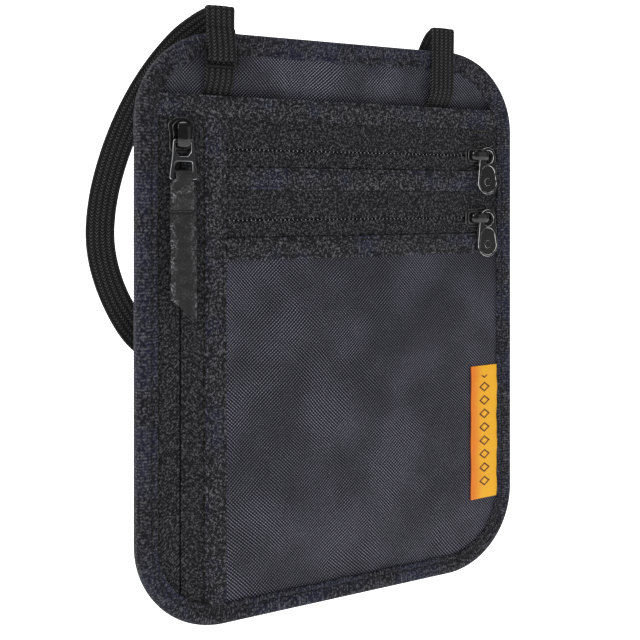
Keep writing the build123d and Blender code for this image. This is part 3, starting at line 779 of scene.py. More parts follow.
def make_lights():
    middle = (0, 0, CENTRE_Z)
    make_light("key", (-0.85, -0.55, 0.5), middle, (0.35, 0.6), 5.2)
    make_light("fill", (0.75, -0.8, 0.0), middle, (0.6, 0.8), 0.7)
    make_light("top", (0.1, -0.25, 0.85), middle, (0.6, 0.35), 2.5)
    make_light("rim", (0.6, 0.6, 0.3), middle, (0.4, 0.5), 1.5)
    world = bpy.data.worlds.new("studio")
    bpy.context.scene.world = world
    world.use_nodes = True
    background = world.node_tree.nodes["Background"]
    background.inputs[0].default_value = (1, 1, 1, 1)
    background.inputs[1].default_value = 0.2


make_stage()
make_lights()


# ---- Fabric panels ----------------------------------------------------------------------------
def panel(name, node, material, front, thick, x_span, z_span, inset, lift=None, run=None, cell=2.4,
          rounding=0.0):
    """A sewn layer with its true outline and thickness. lift moves it in depth, place by place."""
    x_low = max(x_span[0], -HALF_WIDTH + inset)
    x_high = min(x_span[1], HALF_WIDTH - inset)
    columns = max(2, ceil((x_high - x_low) / (cell * MM)) + 1)
    rows = max(2, ceil((z_span[1] - z_span[0]) / (cell * MM)) + 1)
    x = np.linspace(x_low, x_high, columns)
    low, high = column_limits(x, inset)
    low = np.maximum(low, z_span[0])
    high = np.minimum(high, z_span[1])
    share = np.linspace(0, 1, rows)
    z = low[:, None] + (high - low)[:, None] * share[None]
    x = np.broadcast_to(x[:, None], z.shape)
    depth = np.zeros(z.shape) if lift is None else lift(x, z)
    edge = np.minimum.reduce([x - x_low, x_high - x, z - low[:, None], high[:, None] - z])
    rolled = rounding * (1 - smooth_step(0, 1.2 * MM, edge))
    face = np.stack([x, front + depth + rolled, z], axis=-1)
    rear = np.stack([x, front + thick + depth, z], axis=-1)
    runs = np.stack([x, z], axis=-1) / MM if run is None else run(x, z)
    shape = Shape()
    shape.grid(face, runs)
    shape.grid(rear[::-1], runs[::-1])
    border = [
        (face[0], rear[0], runs[0]),
        (face[-1][::-1], rear[-1][::-1], runs[-1][::-1]),
        (face[::-1, 0], rear[::-1, 0], runs[::-1, 0]),
        (face[:, -1], rear[:, -1], runs[:, -1]),
    ]
    for front_line, rear_line, line_runs in border:
        shape.grid(np.stack([rear_line, front_line]), np.stack([line_runs, line_runs]))
    mesh = shape.mesh(name)
    return add_piece(name, weld(mesh), material, "pouch", (node,))


def joined(mesh):
    """A bmesh copy of a mesh in which faces that meet share their corners."""
    work = bmesh.new()
    work.from_mesh(mesh)
    bmesh.ops.remove_doubles(work, verts=work.verts, dist=WELD_DISTANCE)
    bmesh.ops.recalc_face_normals(work, faces=work.faces)
    return work


def weld(mesh, crease=40):
    """Joins the corners that a panel's faces share, so that it is one closed skin."""
    work = joined(mesh)
    work.to_mesh(mesh)
    work.free()
    mesh.set_sharp_from_angle(angle=radians(crease))
    return mesh


def weld_plate(mesh):
    """Joins a plate's corners, and keeps its flat faces apart from its rounded edges."""
    work = joined(mesh)
    for edge in work.edges:
        flat = {abs(face.normal.y) > 0.9995 for face in edge.link_faces}
        edge.smooth = len(flat) == 1
    work.to_mesh(mesh)
    work.free()
    return mesh


def node_depths(node):
    low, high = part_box(node)
    return low.y, high.y - low.y


def ripple(x, z, waves):
    """Soft waves in cloth: each is an amplitude, a wavelength, a heading and a phase."""
    total = np.zeros(np.shape(x))
    for size, length, heading, phase in waves:
        along = x * cos(radians(heading)) + z * sin(radians(heading))
        total += size * MM * np.sin(2 * pi * along / (length * MM) + phase)
    return total


FRONT_WAVES = [(0.16, 47, 38, 0.4), (0.12, 29, 118, 1.9), (0.09, 61, 71, 3.0), (0.05, 17, 152, 0.9)]
BACK_WAVES = [(0.2, 58, 64, 1.1), (0.14, 37, 141, 2.2), (0.08, 24, 15, 0.3)]


def front_lift(x, z):
    """The lower panel stands forward in the middle, where the pocket behind it has room."""
    room = smooth_step(0, 26 * MM, edge_distance(x, z) - BINDING_WIDTH)
    room = room * smooth_step(0, 26 * MM, x - SIDE_STRIP[1].x)
    room = room * smooth_step(0, 24 * MM, LOWER_STRIP_BOTTOM - z)
    return -room * (1.5 * MM + ripple(x, z, FRONT_WAVES))


def back_lift(x, z):
    """The back panel stands back in the middle."""
    room = smooth_step(0, 30 * MM, edge_distance(x, z) - BINDING_WIDTH)
    return room * (1.3 * MM + ripple(x, z, BACK_WAVES))


def upper_lift(x, z):
    """Above the organiser the pocket's back comes forward to lie under the thinner edge."""
    rise = smooth_step(ORGANISER_TOP + 1 * MM, ORGANISER_TOP + 7 * MM, z)
    room = smooth_step(0, 10 * MM, edge_distance(x, z) - BINDING_WIDTH)
    return -1.25 * MM * rise + room * rise * ripple(x, z, BACK_WAVES)


def strip_lift(middle_x=None, middle_z=None):
    """A seam strip: pulled down along its two rows of stitches, and full between them."""
    reach = 3.75 * MM

    def lift(x, z):
        away = np.abs(x - middle_x) if middle_z is None else np.abs(z - middle_z)
        crown = -0.28 * MM * (1 - (away / reach) ** 2)
        dip = 0.22 * MM * np.exp(-((away - STRIP_ROW) / (0.45 * MM)) ** 2)
        pull = 0.05 * MM * np.sin((x + z) / MM * 1.55)
        return crown + dip + pull * (away / reach)

    return lift


def run_from(line_x=None, line_z=None):
    """Run coordinates along a zip or strip, with the distance across counted from its line."""
    def run(x, z):
        if line_z is None:
            return np.stack([z, x - line_x], axis=-1) / MM
        return np.stack([x, z - line_z], axis=-1) / MM

    return run


def whole(node):
    low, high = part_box(node)
    return (low.x, high.x), (low.z, high.z)


def make_panels():
    for name, node, material, lift in (
        ("back_cloth", "back_panel", BACK_FABRIC, back_lift),
        ("pocket_back_cloth", "pocket_back_panel", BACK_FABRIC, upper_lift),
        ("front_cloth", "front_panel", FRONT_FABRIC, front_lift),
    ):
        front, thick = node_depths(node)
        x_span, z_span = whole(node)
        cloth = panel(name, node, material, front, thick, x_span, z_span, PANEL_INSET, lift,
                      cell=1.6)
    for node, material in (
        ("organiser_lining", LINING), ("zip_divider", LINING), ("lower_divider", LINING),
        ("rfid_liner", LINER),
    ):
        front, thick = node_depths(node)
        x_span, z_span = whole(node)
        gap = 3 * MM if node == "rfid_liner" else PANEL_INSET
        panel(f"{node}_cloth", node, material, front, thick, x_span, z_span, gap)


def make_strips():
    for node in ("top_strip", "middle_strip", "lower_strip", "side_strip"):
        front, thick = node_depths(node)
        x_span, z_span = whole(node)
        if node == "side_strip":
            middle = sum(x_span) / 2
            lift, run = strip_lift(middle_x=middle), run_from(line_x=middle)
        else:
            middle = sum(z_span) / 2
            lift, run = strip_lift(middle_z=middle), run_from(line_z=middle)
        panel(f"{node}_tape", node, SEAM_TAPE, front, thick, x_span, z_span, PANEL_INSET, lift,
              run,
              cell=0.75, rounding=0.25 * MM)


def make_zip_tapes():
    """Each tape half rolls back a little along the slit, and dips where a strip is sewn over it."""
    strip_tops = [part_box(node)[1].z for node in ("middle_strip", "lower_strip")]
    halves = [
        (f"{zip_name}_tape_{side}", None, line)
        for zip_name, line in ROW_ZIPS.items() for side in ("above", "below")
    ]
    halves += [(f"side_zip_tape_{side}", SIDE_ZIP_X, None) for side in ("left", "right")]
    for node, line_x, line_z in halves:
        front, thick = node_depths(node)
        x_span, z_span = whole(node)

        def lift(x, z):
            if line_z is None:
                away = np.abs(x - line_x)
                beside = np.abs(SIDE_STRIP[0].x - 0.4 * MM - x)
            else:
                away = np.abs(z - line_z)
                beside = np.minimum.reduce([np.abs(z - top - 0.3 * MM) for top in strip_tops])
            rolled = 0.22 * MM * np.exp(-((away - 0.5 * MM) / (0.5 * MM)) ** 2)
            return rolled + 0.5 * MM * np.exp(-(beside / (0.4 * MM)) ** 2)

        panel(f"{node}_cloth", node, ZIP_TAPE, front, thick, x_span, z_span, PANEL_INSET,
              lift, run_from(line_x, line_z), cell=0.45)


# ---- Edge binding -----------------------------------------------------------------------------
def lip_shift(z):
    """Above the organiser there are fewer layers, so the binding's front lies further back."""
    return 2.2 * MM * smooth_step(ORGANISER_TOP, ORGANISER_TOP + 7 * MM, z)


# The binding's section, in millimetres: how far in from the outline, and how far forward of the
# layers' middle as a share of the front or back lip's height.
BINDING_OUTSIDE = [
    (7.0, 0.80), (6.85, 0.96), (6.2, 1.04), (5.6, 1.02), (5.0, 0.88), (4.4, 1.03), (3.6, 1.12),
    (2.4, 1.15), (1.4, 1.10), (0.7, 0.97), (0.25, 0.72), (0.03, 0.4), (0.0, 0.0),
]
BINDING_INSIDE = [(0.6, 0.0), (0.65, 0.5), (1.1, 0.76), (6.9, 0.79)]
RIB_PITCH = 1.0 * MM
RIB_HEIGHT = 0.09 * MM


def make_binding():
    middle = (BINDING_LOW.y + BINDING_HIGH.y) / 2
    front = middle - BINDING_LOW.y
    back = BINDING_HIGH.y - middle
    section = [(inwards, -share * front) for inwards, share in BINDING_OUTSIDE]
    section += [(inwards, share * back) for inwards, share in reversed(BINDING_OUTSIDE[:-1])]
    outside_count = len(section)
    section += [(inwards, share * back) for inwards, share in reversed(BINDING_INSIDE)]
    section += [(inwards, -share * front) for inwards, share in BINDING_INSIDE[1:]]
    section = np.array(section)
    inwards = section[:, 0] * MM
    depth = section[:, 1]
    points, outward, runs = outline_path(0, RIB_PITCH / 4)
    rib = RIB_HEIGHT * (0.5 + 0.5 * np.cos(2 * pi * runs / RIB_PITCH))
    wander = 0.14 * MM * np.sin(runs / MM * 0.31) + 0.1 * MM * np.sin(runs / MM * 0.83 + 1)
    ahead = np.roll(section, -1, axis=0) - np.roll(section, 1, axis=0)
    normal = unit(np.stack([ahead[:, 1] * 1e3, -ahead[:, 0]], axis=1))
    raised = (np.arange(len(section)) < outside_count).astype(float)
    near_edge = smooth_step(4.0 * MM, 7.0 * MM, inwards)
    inwards_all = (
        inwards[None] + wander[:, None] * near_edge[None]
        - rib[:, None] * (normal[:, 0] * raised)[None]
    )
    in_front = (depth < 0) * 1.0
    shift = lip_shift(points[:, 1])[:, None] * in_front[None]
    shift = shift * smooth_step(0.4 * MM, 5.5 * MM, inwards)[None]
    y = middle + depth[None] + shift + rib[:, None] * (normal[:, 1] * raised)[None]
    x = points[:, 0, None] - outward[:, 0, None] * inwards_all
    z = points[:, 1, None] - outward[:, 1, None] * inwards_all
    lengths = np.concatenate([[0], np.cumsum(np.hypot(np.diff(inwards), np.diff(depth)))])
    run = np.stack(np.broadcast_arrays(runs[:, None] / MM, lengths[None] / MM), axis=-1)
    shape = Shape()
    shape.grid(np.stack([x, y, z], axis=-1), run, wrap_rows=True, wrap_columns=True)
    add_piece("binding_tape_edge", shape.mesh("binding_tape_edge", 60), BINDING_TAPE, "pouch",
              ("edge_binding",))


# ---- Stitching --------------------------------------------------------------------------------
def stitch_shape(length, radius):
    """One stitch: a short thread that dips into the cloth at both ends."""
    rings = 6
    sides = 6
    share = np.linspace(0, 1, rings)
    fat = radius * (0.45 + 0.55 * np.sin(pi * share))
    rise = radius * (1.1 * np.sin(pi * share) - 0.55)
    turn = np.linspace(0, 2 * pi, sides, endpoint=False)
    points = [
        ((part - 0.5) * length, up + thick * sin(angle), thick * cos(angle))
        for part, up, thick in zip(share, rise, fat) for angle in turn
    ]
    faces = [
        (ring * sides + side, ring * sides + (side + 1) % sides,
         (ring + 1) * sides + (side + 1) % sides, (ring + 1) * sides + side)
        for ring in range(rings - 1) for side in range(sides)
    ]
    faces += [tuple(range(sides))[::-1], tuple(range((rings - 1) * sides, rings * sides))]
    return points, faces


def line_frames(start, end, pitch, depth):
    """Even places for stitches along a straight seam on the pouch's front."""
    start, end = np.array(start), np.array(end)
    length = np.linalg.norm(end - start)
    count = max(1, int(length / pitch))
    along = (end - start) / length
    frames = []
    for number in range(count):
        x, z = start + along * (number + 0.5) * length / count
        side = np.array((-along[1], along[0]))
        frames.append((
            (x, depth(x, z), z), (along[0], 0, along[1]), (0, -1, 0), (side[0], 0, side[1]),
        ))
    return frames


def make_stitching():
    points, faces = stitch_shape(2.5 * MM, 0.26 * MM)
    pitch = 3.6 * MM
    binding = Shape()
    places, outward, _ = outline_path(5 * MM, pitch)
    lip = BINDING_LOW.y
    frames = []
    for (x, z), (out_x, out_z) in zip(places, outward):
        front = lip + float(lip_shift(z)) + 0.16 * MM
        frames.append(((x, front, z), (-out_z, 0, out_x), (0, -1, 0), (out_x, 0, out_z)))
        back = BINDING_HIGH.y - 0.16 * MM
        frames.append(((x, back, z), (-out_z, 0, out_x), (0, 1, 0), (out_x, 0, out_z)))
    binding.scatter(points, faces, frames)
    add_piece("binding_stitches", binding.mesh("binding_stitches"), THREAD, "pouch",
              ("binding_stitching",))

    strips = Shape()
    frames = []
    for node in ("top_strip", "middle_strip", "lower_strip", "side_strip"):
        x_span, z_span = whole(node)
        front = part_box(node)[0].y
        for side in (-1, 1):
            if node == "side_strip":
                x = sum(x_span) / 2 + side * STRIP_ROW
                low, high = z_span[0] + 6.5 * MM, z_span[1] - 1 * MM
                lift = strip_lift(middle_x=sum(x_span) / 2)
                ends = ((x, low), (x, high))
            else:
                z = sum(z_span) / 2 + side * STRIP_ROW
                low = max(x_span[0] + 1 * MM, -HALF_WIDTH + 7.5 * MM)
                ends = ((low, z), (HALF_WIDTH - 7.5 * MM, z))
                lift = strip_lift(middle_z=sum(z_span) / 2)
            frames += line_frames(*ends, pitch, lambda x, z: front + float(lift(x, z)))
    strips.scatter(points, faces, frames)
    add_piece("strip_stitches", strips.mesh("strip_stitches"), THREAD, "pouch",
              ("strip_stitching",))


# ---- Zip chains -------------------------------------------------------------------------------
def bead_shape(radius):
    """A small rounded knuckle."""
    points = [(0, radius, 0)]
    sides = 6
    for tilt in (35, 75):
        for turn in range(sides):
            angle = 2 * pi * turn / sides
            flat = sin(radians(tilt)) * radius
            points.append((flat * cos(angle), cos(radians(tilt)) * radius, flat * sin(angle)))
    faces = [(0, 1 + side, 1 + (side + 1) % sides) for side in range(sides)]
    faces += [
        (1 + side, 1 + sides + side, 1 + sides + (side + 1) % sides, 1 + (side + 1) % sides)
        for side in range(sides)
    ]
    faces.append(tuple(range(2 * sides, sides, -1)))
    return points, faces


def make_coils():
    """Each coil is a flattened helix of nylon, one turn for each tooth."""
    pitch = 1.3 * MM
    wire = 0.17 * MM
    for zip_name, sides in (
        ("upper_zip", ("above", "below")), ("lower_zip", ("above", "below")),
        ("side_zip", ("left", "right")),
    ):
        for side in sides:
            node = f"{zip_name}_coil_{side}"
            low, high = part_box(node)
            centre = (low + high) / 2
            upright = zip_name == "side_zip"
            start, length = (low.z, high.z - low.z) if upright else (low.x, high.x - low.x)
            reach = (high.x - low.x if upright else high.z - low.z) / 2 - wire
            tall = (high.y - low.y) / 2 - wire
            turns = length / pitch
            steps = np.linspace(0, 1, ceil(turns * 10))
            angle = 2 * pi * turns * steps + (pi if side in ("below", "right") else 0)
            along = start + wire + steps * (length - 2 * wire)
            across = reach * squared(np.cos(angle), 0.7)
            depth = centre.y + tall * np.sin(angle)
            if upright:
                path = np.stack([centre.x + across, depth, along], axis=1)
                reference = (0, 0, 1)
            else:
                path = np.stack([along, depth, centre.z + across], axis=1)
                reference = (1, 0, 0)
            shape = Shape()
            rings = tube_points(path, wire, 5, reference)
            shape.grid(rings, wrap_columns=True)
            shape.add(rings[0], [range(5)])
            shape.add(rings[-1], [range(4, -1, -1)])
            add_piece(f"{node}_helix", shape.mesh(f"{node}_helix", 80), ZIP_COIL, "pouch", (node,))


def make_knuckles():
    """The thread knuckles: in each slit a row of pale beads, which is painted highlight for the glints
    on the coil's knuckles, and four dark rows by the side zip.
    """
    points, faces = bead_shape(0.24 * MM)
    # Painted highlight: these pale beads stand in for glints on the knuckles.
    pale = Shape()
    frames = []
    pitch = 1.6 * MM
    for zip_name, line in ROW_ZIPS.items():
        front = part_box(f"{zip_name}_tape_above")[0].y
        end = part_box(f"{zip_name}_slider")[0].x
        start = SIDE_STRIP[1].x + 0.4 * MM
        for number in range(int((end - start) / pitch)):
            x = start + (number + 0.5) * pitch
            frames.append(((x, front + 0.1 * MM, line), *FACING_FRONT))
    pale.scatter(points, faces, frames)
    add_piece("row_zip_knuckles", pale.mesh("row_zip_knuckles", 80), KNUCKLE_GLINTS, "pouch", ())
    dark = Shape()
    frames = []
    pitch = 1.3 * MM
    low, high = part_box("side_zip_coil_left")
    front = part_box("side_zip_tape_left")[0].y
    bottom = CENTRE_Z - HALF_HEIGHT + 8 * MM
    top = ORGANISER_TOP - 8.3 * MM
    for number in range(int((top - bottom) / pitch)):
        z = bottom + (number + 0.5) * pitch
        for offset in (-5.6, -0.65, 0.65, 5.6):
            x = SIDE_ZIP_X + offset * MM
            if edge_distance(x, z) > 7.3 * MM and (abs(offset) > 1 or low.z < z < high.z):
                frames.append(((x, front + 0.08 * MM, z), *FACING_FRONT))
    dark.scatter(points, faces, frames)
    add_piece("side_zip_knuckles", dark.mesh("side_zip_knuckles", 80), KNUCKLES, "pouch", ())


# ---- Metal parts ------------------------------------------------------------------------------
class Zip:
    """A zip's own directions: along to its closed end, across, and out of the pouch's front."""

    def __init__(self, name):
        low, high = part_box(f"{name}_bridge")
        self.centre = (low + high) / 2
        self.upright = name == "side_zip"

    def place(self, points):
        along, across, out = (np.asarray(points, float) * MM).T
        x, z = (-across, along) if self.upright else (along, across)
        return np.stack([self.centre.x + x, -out, self.centre.z + z], axis=1)


def soften(corners, radius, steps=5):
    """A closed outline with its corners rounded."""
    corners = np.asarray(corners, float)
    outline = []
    for before, corner, after in zip(np.roll(corners, 1, 0), corners, np.roll(corners, -1, 0)):
        arriving = unit(corner - before)
        leaving = unit(after - corner)
        half_turn = np.arccos(np.clip(arriving @ leaving, -1, 1)) / 2
        cut = min(
            radius * np.tan(half_turn), 0.48 * np.linalg.norm(corner - before),
            0.48 * np.linalg.norm(after - corner),
        )
        start = corner - arriving * cut
        end = corner + leaving * cut
        for share in np.linspace(0, 1, steps):
            first = start + (corner - start) * share
            second = corner + (end - corner) * share
            outline.append(first + (second - first) * share)
    return outline


def circle(centre, radius, count=40):
    turn = np.linspace(0, 2 * pi, count, endpoint=False)
    return [(centre[0] + radius * cos(angle), centre[1] + radius * sin(angle)) for angle in turn]


def plate(outline, holes, back, front, bevel):
    """Points and faces, in millimetres, of a flat plate with rounded edges and with holes."""
    curve = bpy.data.curves.new("plate", "CURVE")
    curve.dimensions = "2D"
    curve.fill_mode = "BOTH"
    curve.extrude = (front - back) / 2 - bevel
    curve.bevel_depth = bevel
    curve.bevel_resolution = 2
    curve.offset = -bevel
    for loop in (outline, *holes):
        spline = curve.splines.new("POLY")
        spline.points.add(len(loop) - 1)
        for point, (u, v) in zip(spline.points, loop):
            point.co = (u, v, 0, 1)
        spline.use_cyclic_u = True
    holder = bpy.data.objects.new("plate", curve)
    mesh = bpy.data.meshes.new_from_object(holder)
    points = np.array([vertex.co[:] for vertex in mesh.vertices])
    points[:, 2] += (front + back) / 2
    faces = [tuple(face.vertices) for face in mesh.polygons]
    bpy.data.objects.remove(holder)
    bpy.data.meshes.remove(mesh)
    return points, faces


def face_on(points, x, z):
    """A plate's points in metres, upright and facing the front, with its origin at x and z."""
    points = points * MM
    return np.stack([x + points[:, 0], -points[:, 2], z + points[:, 1]], axis=1)


def plate_spans(node, zip_frame):
    """Half the length and half the width of a node, along and across its zip."""
    low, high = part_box(node)
    half_x, half_z = (high.x - low.x) / 2 / MM, (high.z - low.z) / 2 / MM
    return (half_z, half_x) if zip_frame.upright else (half_x, half_z)


def make_sliders():
    """Cast sliders: a shield-shaped plate each side, flanges, a post and a domed bridge."""
    for name, body in (
        ("upper_zip", "upper_slider"), ("lower_zip", "lower_slider"), ("side_zip", "side_slider"),
    ):
        zip_frame = Zip(name)
        front = -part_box(f"{name}_slider")[0].y / MM
        long, head = plate_spans(f"{name}_slider", zip_frame)
        tail = head - 0.6
        shield = [
            (-long, -tail), (0, -tail), (long - 2.0, -head), (long, -1.8), (long, 1.8),
            (long - 2.0, head), (0, tail), (-long, tail),
        ]
        shape = Shape()
        for back, top, bevel in ((1.75, front, 0.3), (0.05, 0.45, 0.12)):
            points, faces = plate(soften(shield, 1.6), [], back, top, bevel)
            shape.add(zip_frame.place(points), faces)
        raised = [(u * 0.84, v * 0.72) for u, v in shield]
        points, faces = plate(soften(raised, 1.6), [], front - 0.1, front + 0.5, 0.3)
        shape.add(zip_frame.place(points), faces)
        post = [(long - 2.8, -0.2), (long - 0.4, -0.2), (long - 0.4, 0.2), (long - 2.8, 0.2)]
        points, faces = plate(soften(post, 0.15), [], 0.1, 2.0, 0.05)
        shape.add(zip_frame.place(points), faces)
        for side in (-1, 1):
            flange = [(-5.0, -0.3), (0.8, -0.3), (0.8, 0.3), (-5.0, 0.3)]
            flange = soften([(u, v + side * 3.15) for u, v in flange], 0.2)
            points, faces = plate(flange, [], 0.4, 0.95, 0.08)
            shape.add(zip_frame.place(points), faces)
        add_piece(f"{name}_slider_plates", weld_plate(shape.mesh(f"{name}_slider_plates")),
                  BLACK_ENAMEL, body, (f"{name}_slider",))

        half_long, half_wide = plate_spans(f"{name}_bridge", zip_frame)
        bridge_top = -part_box(f"{name}_bridge")[0].y / MM
        sweep = np.linspace(0, pi, 41)
        along = (half_long - 0.72) * squared(np.cos(sweep), 0.62)
        out = front + 0.1 + (bridge_top - front - 0.55) * np.sin(sweep) ** 0.62
        path = np.stack([along, 0 * along, out], axis=1)
        tangent = unit(np.gradient(path, axis=0))
        normal = np.cross(tangent, (0, 1, 0))
        wide = half_wide * (0.8 + 0.2 * np.sin(sweep))
        thick = 0.68 - 0.22 * np.sin(sweep) ** 2
        turn = np.linspace(0, 2 * pi, 28, endpoint=False)
        across = squared(np.cos(turn), 0.9)
        lift = squared(np.sin(turn), 0.95)
        rings = (
            path[:, None] + normal[:, None] * (thick[:, None] * lift[None])[..., None]
            + np.array((0, 1, 0)) * (wide[:, None] * across[None])[..., None]
        )
        shape = Shape()
        placed = zip_frame.place(rings.reshape(-1, 3)).reshape(rings.shape)
        shape.grid(placed, wrap_columns=True)
        shape.add(placed[0], [range(len(turn))])
        shape.add(placed[-1], [range(len(turn))[::-1]])
        add_piece(f"{name}_slider_bridge", weld(shape.mesh(f"{name}_slider_bridge", 60), 60),
                  BRIDGE_ENAMEL, body, (f"{name}_bridge",))


def make_row_pulls():
    """Teardrop pulls: a ring round the bridge's leg, and a rimmed face with a plain boss."""
    for name, body in (("upper_zip", "upper_pull"), ("lower_zip", "lower_pull")):
        low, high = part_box(f"{name}_pull")
        back, front = -high.y / MM, -low.y / MM
        pivot_x = (low.x + high.x) / 2
        round_radius = (high.x - low.x) / 2 / MM
        ring_radius = 3.8
        ring_z = high.z - ring_radius * MM
        drop = (high.z - low.z) / MM - ring_radius - round_radius
        tilt = np.arcsin((round_radius - ring_radius) / drop)
        upper = [
            (ring_radius * cos(angle), ring_radius * sin(angle))
            for angle in np.linspace(-tilt, pi + tilt, 26)
        ]
        lower = [
            (round_radius * cos(angle), round_radius * sin(angle) - drop)
            for angle in np.linspace(pi + tilt, 2 * pi - tilt, 30)
        ]
        ring_hole = circle((0, 0), 2.6)
        face = [(u * 0.84, (v + drop) * 0.84 - drop) for u, v in lower]
        face += [(3.3 * cos(a), 3.3 * sin(a) - 6.6) for a in np.linspace(0.35, pi - 0.35, 12)]
        shape = Shape()
        for outline, holes, foot, top, bevel in (
            (upper + lower, [ring_hole, face], back, front, 0.24),
            (upper + lower, [ring_hole], back + 0.15, front - 0.35, 0.1),
            (circle((0, -drop), 1.5), [], front - 0.5, front - 0.15, 0.12),
        ):
            points, faces = plate(outline, holes, foot, top, bevel)
            shape.add(face_on(points, pivot_x, ring_z), faces)
        add_piece(f"{name}_teardrop", weld_plate(shape.mesh(f"{name}_teardrop")), PULL_ENAMEL,
                  body, (f"{name}_pull",))


def make_link():
    """The side zip's link: a flared plate with a window for the bridge and one for the leather."""
    low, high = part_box("pull_link")
    centre_x = (low.x + high.x) / 2
    outline = soften([(-3.5, 0), (3.5, 0), (3.8, -5.0), (4.9, -13.1), (-4.9, -13.1),
                      (-3.8, -5.0)], 0.9)
    # Square beside the bar, so the bridge clears it as the link swings, and round below.
    upper = soften([(-2.65, -1.1), (2.65, -1.1), (2.65, -4.0), (1.5, -5.5), (-1.5, -5.5),
                    (-2.65, -4.0)], 0.35)
    lower = soften([(-3.1, -7.2), (3.1, -7.2), (3.1, -11.8), (-3.1, -11.8)], 0.9)
    points, faces = plate(outline, [upper, lower], -high.y / MM, -low.y / MM, 0.26)
    shape = Shape()
    shape.add(face_on(points, centre_x, high.z), faces)
    add_piece("side_pull_link", weld_plate(shape.mesh("side_pull_link")), GUNMETAL, "side_link",
              ("pull_link",))


# ---- Leather pull -----------------------------------------------------------------------------
LEATHER_HALF = 4.05
LEATHER_NECK_HALF = 2.9
LEATHER_SHEET = 0.62
LEAF_SHIFT = 0.62
FOLD_RADIUS = 1.22
STITCH_DEPTH = 0.42
PRESSED_DEPTH = 0.13
PRESSED_PITCH = 4.4


def make_leather():
    """A leather strip folded round the link's lower bar, sewn together and cut at a slant."""
    low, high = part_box("pull_leather")
    centre_x = (low.x + high.x) / 2
    centre_y = (low.y + high.y) / 2
    bottom = (low.z - CENTRE_Z) / MM
    pivot = bottom + LEATHER_PIVOT_RISE
    stitch_low, stitch_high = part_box("pull_stitches")
    stitch_z = ((stitch_low.z + stitch_high.z) / 2 - CENTRE_Z) / MM
    leaf = np.arange(0, 1, 1 / 130)
    fold = np.linspace(0, pi, 15)
    # A path up the back leaf, round the bar and down the front leaf: share down the leaf, or turn.
    heights = np.concatenate([leaf[::-1], 0 * fold, leaf])
    facing = np.concatenate([0 * leaf + 1, np.cos(fold), 0 * leaf - 1])
    rise = np.concatenate([0 * leaf, np.sin(fold), 0 * leaf])
    around = np.linspace(0, 2 * pi, 64, endpoint=False)
    across = squared(np.cos(around), 0.85)
    thick = squared(np.sin(around), 0.5)
    slant_end = bottom + LEATHER_SLANT * (0.5 - 0.5 * across)
    z = pivot - heights[:, None] * (pivot - slant_end)[None] + FOLD_RADIUS * rise[:, None]
    middle_z = z.mean(axis=1)
    broad = smooth_step(pivot - 1.2, pivot - 3.0, middle_z)
    width = LEATHER_NECK_HALF + (LEATHER_HALF - LEATHER_NECK_HALF) * broad
    shift = LEAF_SHIFT * facing * broad
    flat_spread = 0.6
    spread = flat_spread + (FOLD_RADIUS - flat_spread) * smooth_step(pivot - 6.5, pivot - 0.5, z)
    bulge = 0.45 * np.exp(-((z - stitch_z - 4.6) / 2.6) ** 2)
    pinch = STITCH_DEPTH * np.exp(-((z - stitch_z) / 0.7) ** 2)
    crown = 0.16 * (1 - across[None] ** 2)
    # A plain column of lozenges is pressed into the front leaf.
    step = np.abs((z + 100) % PRESSED_PITCH - PRESSED_PITCH / 2)
    lozenge = step + 0.8 * np.abs(LEATHER_HALF * across[None])
    pressed = PRESSED_DEPTH * (1 - smooth_step(0.25, 0.65, np.abs(lozenge - 1.35)))
    pressed = pressed * (facing[:, None] < -0.9) * (np.abs(z - 22) < 11)
    # Only the front leaf swells; the back leaf stays flat, clear of the binding.
    in_front = facing[:, None] < 0.5
    lean = facing[:, None] * (spread - pinch + (bulge + crown - pressed) * in_front)
    below = smooth_step(stitch_z, stitch_z - 12, z)
    wave = (0.75 + 0.15 * np.sin((z - stitch_z) / 9.0)) * below
    half_sheet = LEATHER_SHEET / 2
    outwards = np.stack([facing, rise], axis=1)
    y = centre_y / MM + lean - wave + half_sheet * thick[None] * outwards[:, :1]
    z = z + half_sheet * thick[None] * outwards[:, 1:]
    x = centre_x / MM + width[:, None] * across[None] * (1 + 0.012 * np.sin(z * 0.9))
    x = x + shift[:, None]
    points = np.stack([x, y, z + CENTRE_Z / MM], axis=-1) * MM
    runs = np.stack([z, x - centre_x / MM], axis=-1)
    shape = Shape()
    shape.tube(points, runs)
    add_piece("leather_strip", weld(shape.mesh("leather_strip", 70)), LEATHER, "leather_pull",
              ("pull_leather",))

    points, faces = stitch_shape(1.75 * MM, 0.24 * MM)
    front = centre_y - (flat_spread - STITCH_DEPTH + 0.12 + half_sheet + 0.12) * MM
    stitches = Shape()
    frames = [
        ((centre_x + (offset - LEAF_SHIFT) * MM, front, CENTRE_Z + stitch_z * MM), *FACING_FRONT)
        for offset in (-2.7, -0.9, 0.9, 2.7)
    ]
    stitches.scatter(points, faces, frames)
    add_piece("leather_strip_stitches", stitches.mesh("leather_strip_stitches"), LEATHER_THREAD,
              "leather_pull", ("pull_stitches",))


# ---- Label ------------------------------------------------------------------------------------
def make_label():
    """The woven side label lies on the front cloth and runs in under the binding."""
    low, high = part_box("side_label")
    cloth_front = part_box("front_panel")[0].y

    def lift(x, z):
        free_edge = smooth_step(3 * MM, 0, x - low.x)
        curl = -0.12 * MM * free_edge * (1 + np.sin(z / MM * 0.37 + 0.8))
        return front_lift(x, z) + curl

    def run(x, z):
        return np.stack([x - low.x, z - low.z], axis=-1) / MM

    panel("woven_side_label", "side_label", WOVEN_LABEL, cloth_front - 0.42 * MM, 0.36 * MM,
          (low.x, high.x), (low.z, high.z), PANEL_INSET, lift, run, cell=0.8,
          rounding=0.14 * MM)


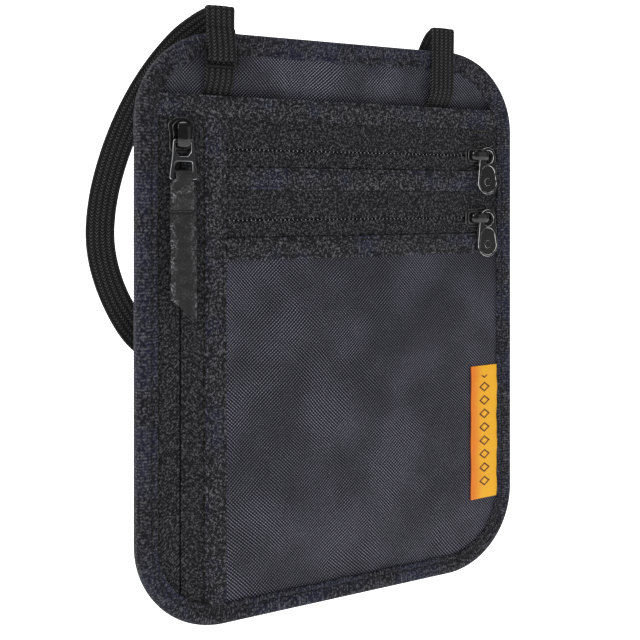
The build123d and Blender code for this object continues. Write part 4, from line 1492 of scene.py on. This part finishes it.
# ---- Strap adjuster ---------------------------------------------------------------------------
def make_adjuster():
    """The adjuster's frame, and the turned webbing that hangs over its middle bar."""
    low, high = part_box("strap_adjuster")
    centre_x = (low.x + high.x) / 2
    centre_z = (low.z + high.z) / 2
    half_x = (high.x - low.x) / 2 / MM
    half_z = (high.z - low.z) / 2 / MM
    front = -low.y / MM - 1.35
    corners = [(-half_x, -half_z), (half_x, -half_z), (half_x, half_z), (-half_x, half_z)]
    outline = soften(corners, 1.0)
    inner_x = half_x - 0.8
    slots = []
    for side in (-1, 1):
        near, far = 0.9 * side, (half_z - 0.75) * side
        slot = [(-inner_x, near), (inner_x, near), (inner_x, far), (-inner_x, far)]
        slots.append(soften(slot, 0.3))
    shape = Shape()
    points, faces = plate(outline, slots, front - 0.9, front, 0.3)
    shape.add(face_on(points, centre_x, centre_z), faces)
    add_piece("adjuster_frame", weld_plate(shape.mesh("adjuster_frame")), ADJUSTER_PLASTIC, "adjuster",
              ("strap_adjuster",))

    # The turned webbing: a flat loop, from the strap's front over the bar and back up behind it.
    strap_front = 0.9 - front
    side_view = [
        (strap_front - 0.1, 9.6), (strap_front - 0.3, 8.2), (strap_front - 0.75, 5.6),
        (strap_front - 1.3, 3.2), (strap_front - 1.5, 1.0), (strap_front - 1.45, -0.6),
        (strap_front - 1.1, -1.2), (strap_front - 0.7, -1.0),
    ]
    path = np.array([(centre_x / MM, depth, centre_z / MM + up) for depth, up in side_view])
    steps = np.concatenate([[0], np.cumsum(np.linalg.norm(np.diff(path, axis=0), axis=1))])
    even = np.linspace(0, steps[-1], 46)
    path = np.stack([np.interp(even, steps, path[:, axis]) for axis in range(3)], axis=1)
    for _ in range(6):
        path[1:-1] = (path[:-2] + 2 * path[1:-1] + path[2:]) / 4
    tangent = unit(np.gradient(path, axis=0))
    out = np.cross(tangent, (1, 0, 0))
    across, thick = webbing_section()
    points = (
        path[:, None] + np.array((1, 0, 0)) * (across * 5.05)[None, :, None]
        + out[:, None] * (thick * 0.42)[None, :, None]
    ) * MM
    runs = np.stack(np.broadcast_arrays(even[:, None], (across * 5 + 5)[None]), axis=-1)
    shape = Shape()
    shape.tube(points, runs)
    add_piece("adjuster_webbing", weld(shape.mesh("adjuster_webbing", 70)), WEBBING, "adjuster")


def finish_cad(materials):
    """The CAD nodes whose shape is right stay, with these materials."""
    for node, material in materials.items():
        piece = bpy.data.objects[node]
        for slot in piece.material_slots:
            slot.material = material


make_panels()
make_strips()
make_zip_tapes()
make_binding()
make_stitching()
make_coils()
make_knuckles()
make_sliders()
make_row_pulls()
make_link()
make_leather()
make_label()
make_adjuster()
finish_cad({
    **{f"{name}_{part}": STOP_METAL
       for name in ("upper_zip", "lower_zip", "side_zip") for part in ("end_stop", "top_stops")},
    "strap_bartacks": THREAD,
})
